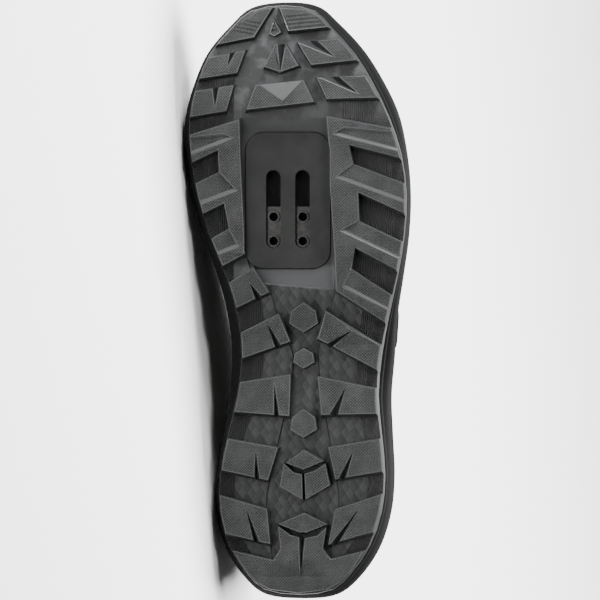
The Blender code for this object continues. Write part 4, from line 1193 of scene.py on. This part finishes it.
def relief(at, level):
    """How far the upper stands out from its plain wall at a station and a height."""
    third = STEP_WIDTH / 3
    out = -OVERLAY * ease(level, overlay_top(at) - third, overlay_top(at) + third)
    stay = EYESTAY * (1 - ease(at, *EYESTAY_FRONT))
    out += stay * ease(level, EYESTAY_FROM - third, EYESTAY_FROM + third)
    for crease in CREASES:
        centre = crease.at + CREASE_SWEEP * (1 - level)
        off = (at - centre) / crease.width
        fade = ease(level, 0.25, 0.6)
        out -= crease.depth * math.exp(-off * off) * fade
        out += crease.depth * 0.5 * math.exp(-((abs(off) - 1.9) ** 2)) * fade
    return out


WEBBING_RIB = 1.3
WEBBING_YARN = 0.9
WEBBING_STITCH = 2.8
STITCH_LINE = 2.0
KNIT_PITCH = 2.2


def webbing_material():
    """Ribbed webbing with a row of stitches along both edges."""
    n = rubber("strap_webbing", (0.0075, 0.0075, 0.0078), 0.7, 0.25)
    along, across, inwards = n.split(n.attribute("weave", "Vector"))
    ribs = n.wave(along, WEBBING_RIB)
    yarns = n.wave(across, WEBBING_YARN)
    normal = n.bump(n.math("MULTIPLY_ADD", ribs, yarns, n.times(ribs, 0.5)), 0.00028)
    off_line = n.math("ABSOLUTE", n.minus(inwards, STITCH_LINE))
    dashes = n.mapped(n.wave(along, WEBBING_STITCH), 0.18, 0.3, smooth=True)
    thread = n.times(n.mapped(off_line, 0.42, 0.22, smooth=True), dashes)
    n.grained(n.bump(thread, 0.0004, normal=normal))
    n.set("Base Color", n.tint(thread, n.colour, (0.028, 0.0285, 0.029)))
    n.set("Sheen Weight", 0.12)
    n.set("Sheen Roughness", 0.5)
    return n.made


def smooth_synthetic(name, colour, roughness):
    """Coated microfibre with a fine pebble grain."""
    n = rubber(name, colour, roughness, 0.2)
    pebble = n.node("ShaderNodeTexVoronoi", feature="SMOOTH_F1")
    n.put(pebble.inputs["Vector"], n.plan)
    pebble.inputs["Scale"].default_value = 1.1
    n.grained(n.bump(pebble.outputs["Distance"], 0.00012, 0.6))
    n.set("Coat Weight", 0.03)
    n.set("Coat Roughness", 0.4)
    return n.made


def knit(name, colour):
    """Spacer mesh: small round holes in staggered rows over a soft ground."""
    n = rubber(name, colour, 0.85)
    x, y, z = n.split(n.plan)
    holes = n.times(n.wave(x, KNIT_PITCH), n.wave(n.plus(y, z), KNIT_PITCH))
    n.grained(n.bump(holes, 0.0003), 0.00005)
    n.set("Sheen Weight", 0.08)
    n.set("Sheen Roughness", 0.5)
    return n.made


STITCH_PITCH = 0.0032
STITCH_LENGTH = 0.0023
STITCH_HALF = 0.00034
# Rows of the upper's grid that the stitches follow, and how far along the row they start and end
OVERLAY_ROW = ROWS_BELOW - 1
EYESTAY_ROW = ROWS_BELOW + ROWS_BETWEEN + 5
FLOOR_GAP = 0.0006


def stitches(outer, normals):
    """Short threads along the edges of the overlay and of the throat's stay, as one mesh."""
    work = bmesh.new()
    for row in (OVERLAY_ROW, EYESTAY_ROW):
        chosen = [i for i in range(COUNT) if row == OVERLAY_ROW or STATIONS[i] < EYESTAY_FRONT[0]]
        line = outer[row, chosen]
        lengths = lengths_along(line)
        for k in range(int(lengths[-1] / STITCH_PITCH)):
            wanted = [k * STITCH_PITCH + off for off in (0, STITCH_LENGTH / 2, STITCH_LENGTH)]
            start, middle, end = (Vector(spot) for spot in read_at(wanted, lengths, line))
            out = Vector(read_at(wanted[0], lengths, normals[row, chosen])).normalized()
            if (end - start).length > STITCH_LENGTH * 1.2 or (SHOE @ middle).z < FLOOR_GAP:
                continue
            across = (end - start).cross(out).normalized() * STITCH_HALF
            rise = out * STITCH_HALF
            first, last = work.verts.new(start), work.verts.new(end)
            belt = [work.verts.new(middle + step) for step in (across, rise * 1.3, -across, -rise)]
            for i in range(4):
                j = (i + 1) % 4
                work.faces.new((first, belt[i], belt[j]))
                work.faces.new((last, belt[j], belt[i]))
    turn_outwards(work)
    thread = rubber("thread", (0.022, 0.0225, 0.023), 0.6, 0.3).made
    finish_piece("upper_stitches", work, [thread])


def upper():
    """One hollow wall: from the cup of the sole up to collar and throat."""
    columns = []
    for i in range(COUNT):
        columns.append([bezier(CURVES[i], level) for level in wall_levels(STATIONS[i])])
    grid, normals = sheet_normals(list(zip(*columns)), closed=True)
    outer, inner = grid.copy(), grid.copy()
    for i in range(COUNT):
        at = STATIONS[i]
        for row, level in enumerate(wall_levels(at)):
            collar = ease(level, PAD_LOW, 1) * (1 - ease(at, PAD_FULL, PAD_FRONT))
            outer[row, i] += normals[row, i] * relief(at, level)
            inner[row, i] -= normals[row, i] * (UPPER_WALL + COLLAR_PAD * collar)
    work = bmesh.new()
    shared = STATIONS >= VAMP_FRONT

    def skin(points):
        feet = ring(SIDE_TOP, FOOT_IN, lambda at: footbed_height(at) + SEAM)
        low = [Vector((p[0], p[1], foot.z)) for p, foot in zip(points[0], feet)]
        made = [add_ring(work, low)]
        made += [add_ring(work, [Vector(p) for p in row]) for row in points[:-1]]
        top = []
        for i in range(COUNT):
            partner = (COUNT - i) % COUNT
            if shared[i] and i > TOE_INDEX:
                top.append(top[partner])
            else:
                top.append(work.verts.new(Vector(points[-1][i])))
        made.append(top)
        for below, above in zip(made, made[1:]):
            for i in range(COUNT):
                j = (i + 1) % COUNT
                corners = []
                for v in (below[i], below[j], above[j], above[i]):
                    if v not in corners:
                        corners.append(v)
                work.faces.new(corners)
        return made

    outside = skin(outer)
    first_inner = len(work.faces)
    inside = skin(inner)
    work.faces.ensure_lookup_table()
    for face in work.faces[first_inner:]:
        face.normal_flip()
        face.material_index = 1
    for i in range(COUNT):
        j = (i + 1) % COUNT
        work.faces.new((outside[0][j], outside[0][i], inside[0][i], inside[0][j]))
        if not (shared[i] and shared[j]):
            face = work.faces.new((outside[-1][i], outside[-1][j], inside[-1][j], inside[-1][i]))
            face.material_index = 2
    turn_outwards(work)
    lips = [
        edge
        for edge in work.edges
        if len(edge.link_faces) == 2
        and sorted(f.material_index for f in edge.link_faces) in ([0, 2], [1, 2])
    ]
    round_off(work, lips, 0.0008)
    materials = [
        smooth_synthetic("upper_shell", (0.0085, 0.0088, 0.0092), 0.54),
        knit("upper_lining", (0.008, 0.008, 0.0083)),
        smooth_synthetic("upper_binding", (0.006, 0.006, 0.0062), 0.6),
    ]
    stitches(outer, normals)
    finish_piece("upper_shell", work, materials, ["upper"])


def loop_index(side, at):
    """The place between loop points where one side reaches a station, as a number."""
    first = 0 if side == LATERAL else COUNT
    indices = [first + side * k for k in range(TOE_INDEX + 1)]
    stations = [STATIONS[k % COUNT] for k in indices]
    return float(np.interp(at, stations, indices))


def handles_at(side, at):
    """The wall's handles at a station, between those of the loop's points."""
    index = loop_index(side, at)
    low = math.floor(index)
    share = index - low
    first, second = CURVES[low % COUNT], CURVES[(low + 1) % COUNT]
    return [a * (1 - share) + b * share for a, b in zip(first, second)]


def across_points(lateral_at, medial_at, lateral_end, medial_end, steps):
    """Points over the shoe: up one wall, over the throat, down the other."""
    lateral, medial = handles_at(LATERAL, lateral_at), handles_at(MEDIAL, medial_at)
    reach = (lateral[3] - medial[3]).length * BRIDGE_REACH
    bridge = [
        lateral[3],
        lateral[3] + (lateral[3] - lateral[2]).normalized() * reach,
        medial[3] + (medial[3] - medial[2]).normalized() * reach,
        medial[3],
    ]
    line = [bezier(lateral, t) for t in np.linspace(lateral_end, 1, steps)]
    line += [bezier(bridge, t) for t in np.linspace(0, 1, steps)[1:-1]]
    line += [bezier(medial, t) for t in np.linspace(1, medial_end, steps)]
    return line


def resampled(line, shares):
    """Points of a line at shares of its length."""
    coordinates = np.array([tuple(p) for p in line])
    lengths = lengths_along(coordinates)
    return read_at(np.array(shares) * lengths[-1], lengths, coordinates)


def slab(work, rows, lift, thickness, roundness):
    """A closed slab on a grid of points: its outer face lifted, its rim rounded."""
    grid, normals = sheet_normals(rows, closed=False)
    if normals[:, :, 2].sum() < 0:
        normals = -normals
    outer = grid + normals * lift
    weave = work.verts.layers.float_vector.new("weave")
    along = np.cumsum(np.linalg.norm(np.diff(grid, axis=1, prepend=grid[:, :1]), axis=2), axis=1)
    across = np.cumsum(np.linalg.norm(np.diff(grid, axis=0, prepend=grid[:1]), axis=2), axis=0)
    depth = np.array([[thickness(r, c) for c in range(grid.shape[1])] for r in range(grid.shape[0])])
    inner = outer - normals * depth[:, :, None]
    layers = []
    for points in (outer, inner):
        layers.append([add_ring(work, [Vector(p) for p in row]) for row in points])
        for low, high in zip(layers[-1], layers[-1][1:]):
            add_band(work, low, high, closed=False)
    top, bottom = layers
    inwards = np.minimum(across, across[-1] - across)
    values = np.stack([along, across, inwards], axis=2) * MILLIMETRES
    for layer in layers:
        for r, row in enumerate(layer):
            for c, v in enumerate(row):
                v[weave] = values[r, c]

    def border(layer):
        return layer[0] + [r[-1] for r in layer[1:]] + layer[-1][-2::-1] + [r[0] for r in layer[-2:0:-1]]

    rim_top, rim_bottom = border(top), border(bottom)
    add_band(work, rim_top, rim_bottom)
    turn_outwards(work)
    rims = set(rim_top) | set(rim_bottom)
    pairs = [
        edge
        for edge in work.edges
        if edge.verts[0] in rims and edge.verts[1] in rims and edge.calc_face_angle(0) > math.radians(50)
    ]
    round_off(work, pairs, roundness)


TONGUE_THICKNESS = 0.004
TONGUE_EDGE = 0.0018
TONGUE_CLEARANCE = 0.0014
TONGUE_TOP = 0.026
TONGUE_FRONT = 0.890
TONGUE_REAR = 0.422
TONGUE_ROWS = 44
TONGUE_COLUMNS = 37
TONGUE_TOP_ROWS = 10
TONGUE_UNDER = 0.80
TONGUE_UNDER_REAR = 0.95
TONGUE_NARROWS = 0.54
TONGUE_TOP_NARROWING = 0.25
TONGUE_TAPER = 0.25
TONGUE_LEAN = math.radians(46)


def tongue():
    """The padded tongue under the throat, standing out above it."""
    shares = np.linspace(0, 1, TONGUE_COLUMNS)
    rows = []
    for at in np.linspace(TONGUE_FRONT, TONGUE_REAR, TONGUE_ROWS):
        under = TONGUE_UNDER + (TONGUE_UNDER_REAR - TONGUE_UNDER) * ease(at, TONGUE_NARROWS, TONGUE_REAR)
        rows.append(resampled(across_points(at, at, under, under, 24), shares))
    back = np.array((-math.cos(TONGUE_LEAN), 0, math.sin(TONGUE_LEAN)))
    last = rows[-1]
    middle = last.mean(axis=0)
    for step in range(1, TONGUE_TOP_ROWS + 1):
        share = step / TONGUE_TOP_ROWS
        narrowing = 1 - TONGUE_TOP_NARROWING * share
        rows.append(middle + (last - middle) * narrowing + back * TONGUE_TOP * share)
    count = len(rows)

    def thickness(row, column):
        from_side = min(column, TONGUE_COLUMNS - 1 - column) / (TONGUE_COLUMNS - 1)
        from_end = min(row, count - 1 - row) / count
        full = ease(from_side, 0, TONGUE_TAPER) * ease(from_end, -0.05, 0.12)
        return TONGUE_EDGE + (TONGUE_THICKNESS - TONGUE_EDGE) * full

    work = bmesh.new()
    slab(work, rows, -UPPER_WALL - TONGUE_CLEARANCE, thickness, 0.0007)
    mesh = knit("tongue_mesh", (0.008, 0.008, 0.0083))
    finish_piece("tongue_pad", work, [mesh], ["tongue"])


Strap = namedtuple("Strap", "lateral_at medial_at width lateral_end medial_end")
STRAPS = {
    "strap_instep": Strap(0.455, 0.487, 1.00, 0.44, 0.42),
    "strap_middle": Strap(0.568, 0.592, 0.85, 0.52, 0.48),
    "strap_front": Strap(0.660, 0.680, 0.75, 0.58, 0.54),
}
STRAP_NOSE = 0.10
STRAP_TIP = 0.55
STRAP_ROWS = 13
STRAP_STEPS = 91


def strap(name, row, webbing):
    """A hook-and-loop strap over the throat, with round ends on both walls."""
    shares = np.linspace(0, 1, STRAP_STEPS)
    lines = []
    for side in np.linspace(1, -1, STRAP_ROWS):
        off = side * row.width * STRAP_WIDTH / 2 / LENGTH
        ends = row.lateral_end, row.medial_end
        lines.append(resampled(across_points(row.lateral_at + off, row.medial_at + off, *ends, 40), shares))
    middle = lines[len(lines) // 2].copy()
    for line in lines:
        for i, share in enumerate(shares):
            nose = min(share, 1 - share) / STRAP_NOSE
            if nose < 1:
                narrowing = STRAP_TIP + (1 - STRAP_TIP) * math.sqrt(1 - (1 - nose) ** 2)
                line[i] = middle[i] + (line[i] - middle[i]) * narrowing
    work = bmesh.new()
    slab(work, lines, STRAP_CLEARANCE + STRAP_THICKNESS, lambda r, c: STRAP_THICKNESS, 0.0004)
    finish_piece(name + "_band", work, [webbing], [name])


def insole():
    """The sock liner on the footbed, inside the upper's foot."""
    work = bmesh.new()
    inset = FOOT_IN - UPPER_WALL - SEAM
    profile = [(0.0, 0.0), (0.0, 0.0026), (-0.0005, 0.0034), (-0.0014, 0.0039), (-0.003, INSOLE_THICKNESS)]
    rows = []
    for step, lift in profile:
        rows.append(add_ring(work, ring(SIDE_TOP, inset + step, lambda at: footbed_height(at) + SEAM + lift)))
    add_rows(work, rows)
    mesh = knit("sock_liner", (0.012, 0.012, 0.0125))
    finish_piece("sock_liner", work, [mesh], ["insole"])


tread()
midsole()
plates()
upper()
tongue()
insole()
webbing = webbing_material()
for strap_name, strap_row in STRAPS.items():
    strap(strap_name, strap_row, webbing)


# The camera's tilt in degrees, its lens and film in millimetres and the height of its view.
# Lights: name, place, size and watts.
CAMERA_TILT = 4.5
LENS = 500.0
SENSOR = 36.0
VIEW_WIDTH = 0.2865
WORLD_STRENGTH = 0.15
FLOOR_HALF = 6.0
LIGHTS = [
    ("toe_light", (-1.60, -0.45, 0.75), 0.5, 62.0),
    ("key", (-0.75, -1.30, 1.15), 0.45, 26.0),
    ("top_light", (0.0, 0.6, 1.6), 1.4, 165.0),
]


def camera_and_light():
    """The camera looks straight at the sole, rolled so that the toe is up."""
    turn = SHOE.to_3x3()
    tilt = math.radians(CAMERA_TILT)
    back = turn @ Vector((0, math.sin(tilt), -math.cos(tilt)))
    up = turn @ Vector((1, 0, 0))
    right = up.cross(back)
    target = SHOE @ lay(0.5, 0)
    camera = place("camera", bpy.data.cameras.new("camera"))
    camera.data.lens = LENS
    camera.data.sensor_width = SENSOR
    distance = LENS / SENSOR * VIEW_WIDTH
    facing = Matrix((right, up, back)).transposed().to_4x4()
    camera.matrix_world = Matrix.Translation(target + back * distance) @ facing
    bpy.context.scene.camera = camera
    world = bpy.data.worlds.new("studio")
    world.use_nodes = True
    background = world.node_tree.nodes["Background"]
    background.inputs["Color"].default_value = (1.0, 1.0, 1.0, 1)
    background.inputs["Strength"].default_value = WORLD_STRENGTH
    bpy.context.scene.world = world
    for name, spot, size, energy in LIGHTS:
        light = place(name, bpy.data.lights.new(name, "AREA"))
        light.data.size = size
        light.data.energy = energy
        light.location = spot
        aim = Vector((0, 0, 0.05)) - light.location
        light.rotation_euler = aim.to_track_quat("-Z", "Y").to_euler()
        light.visible_camera = False


def floor():
    """A plain pale floor."""
    mesh = bpy.data.meshes.new("floor")
    corners = [(x * FLOOR_HALF, y * FLOOR_HALF, 0) for x, y in ((-1, -1), (1, -1), (1, 1), (-1, 1))]
    mesh.from_pydata(corners, [], [(0, 1, 2, 3)])
    mesh.materials.append(Nodes("floor", (0.86, 0.86, 0.86), 0.8).made)
    place("floor", mesh)


floor()
camera_and_light()
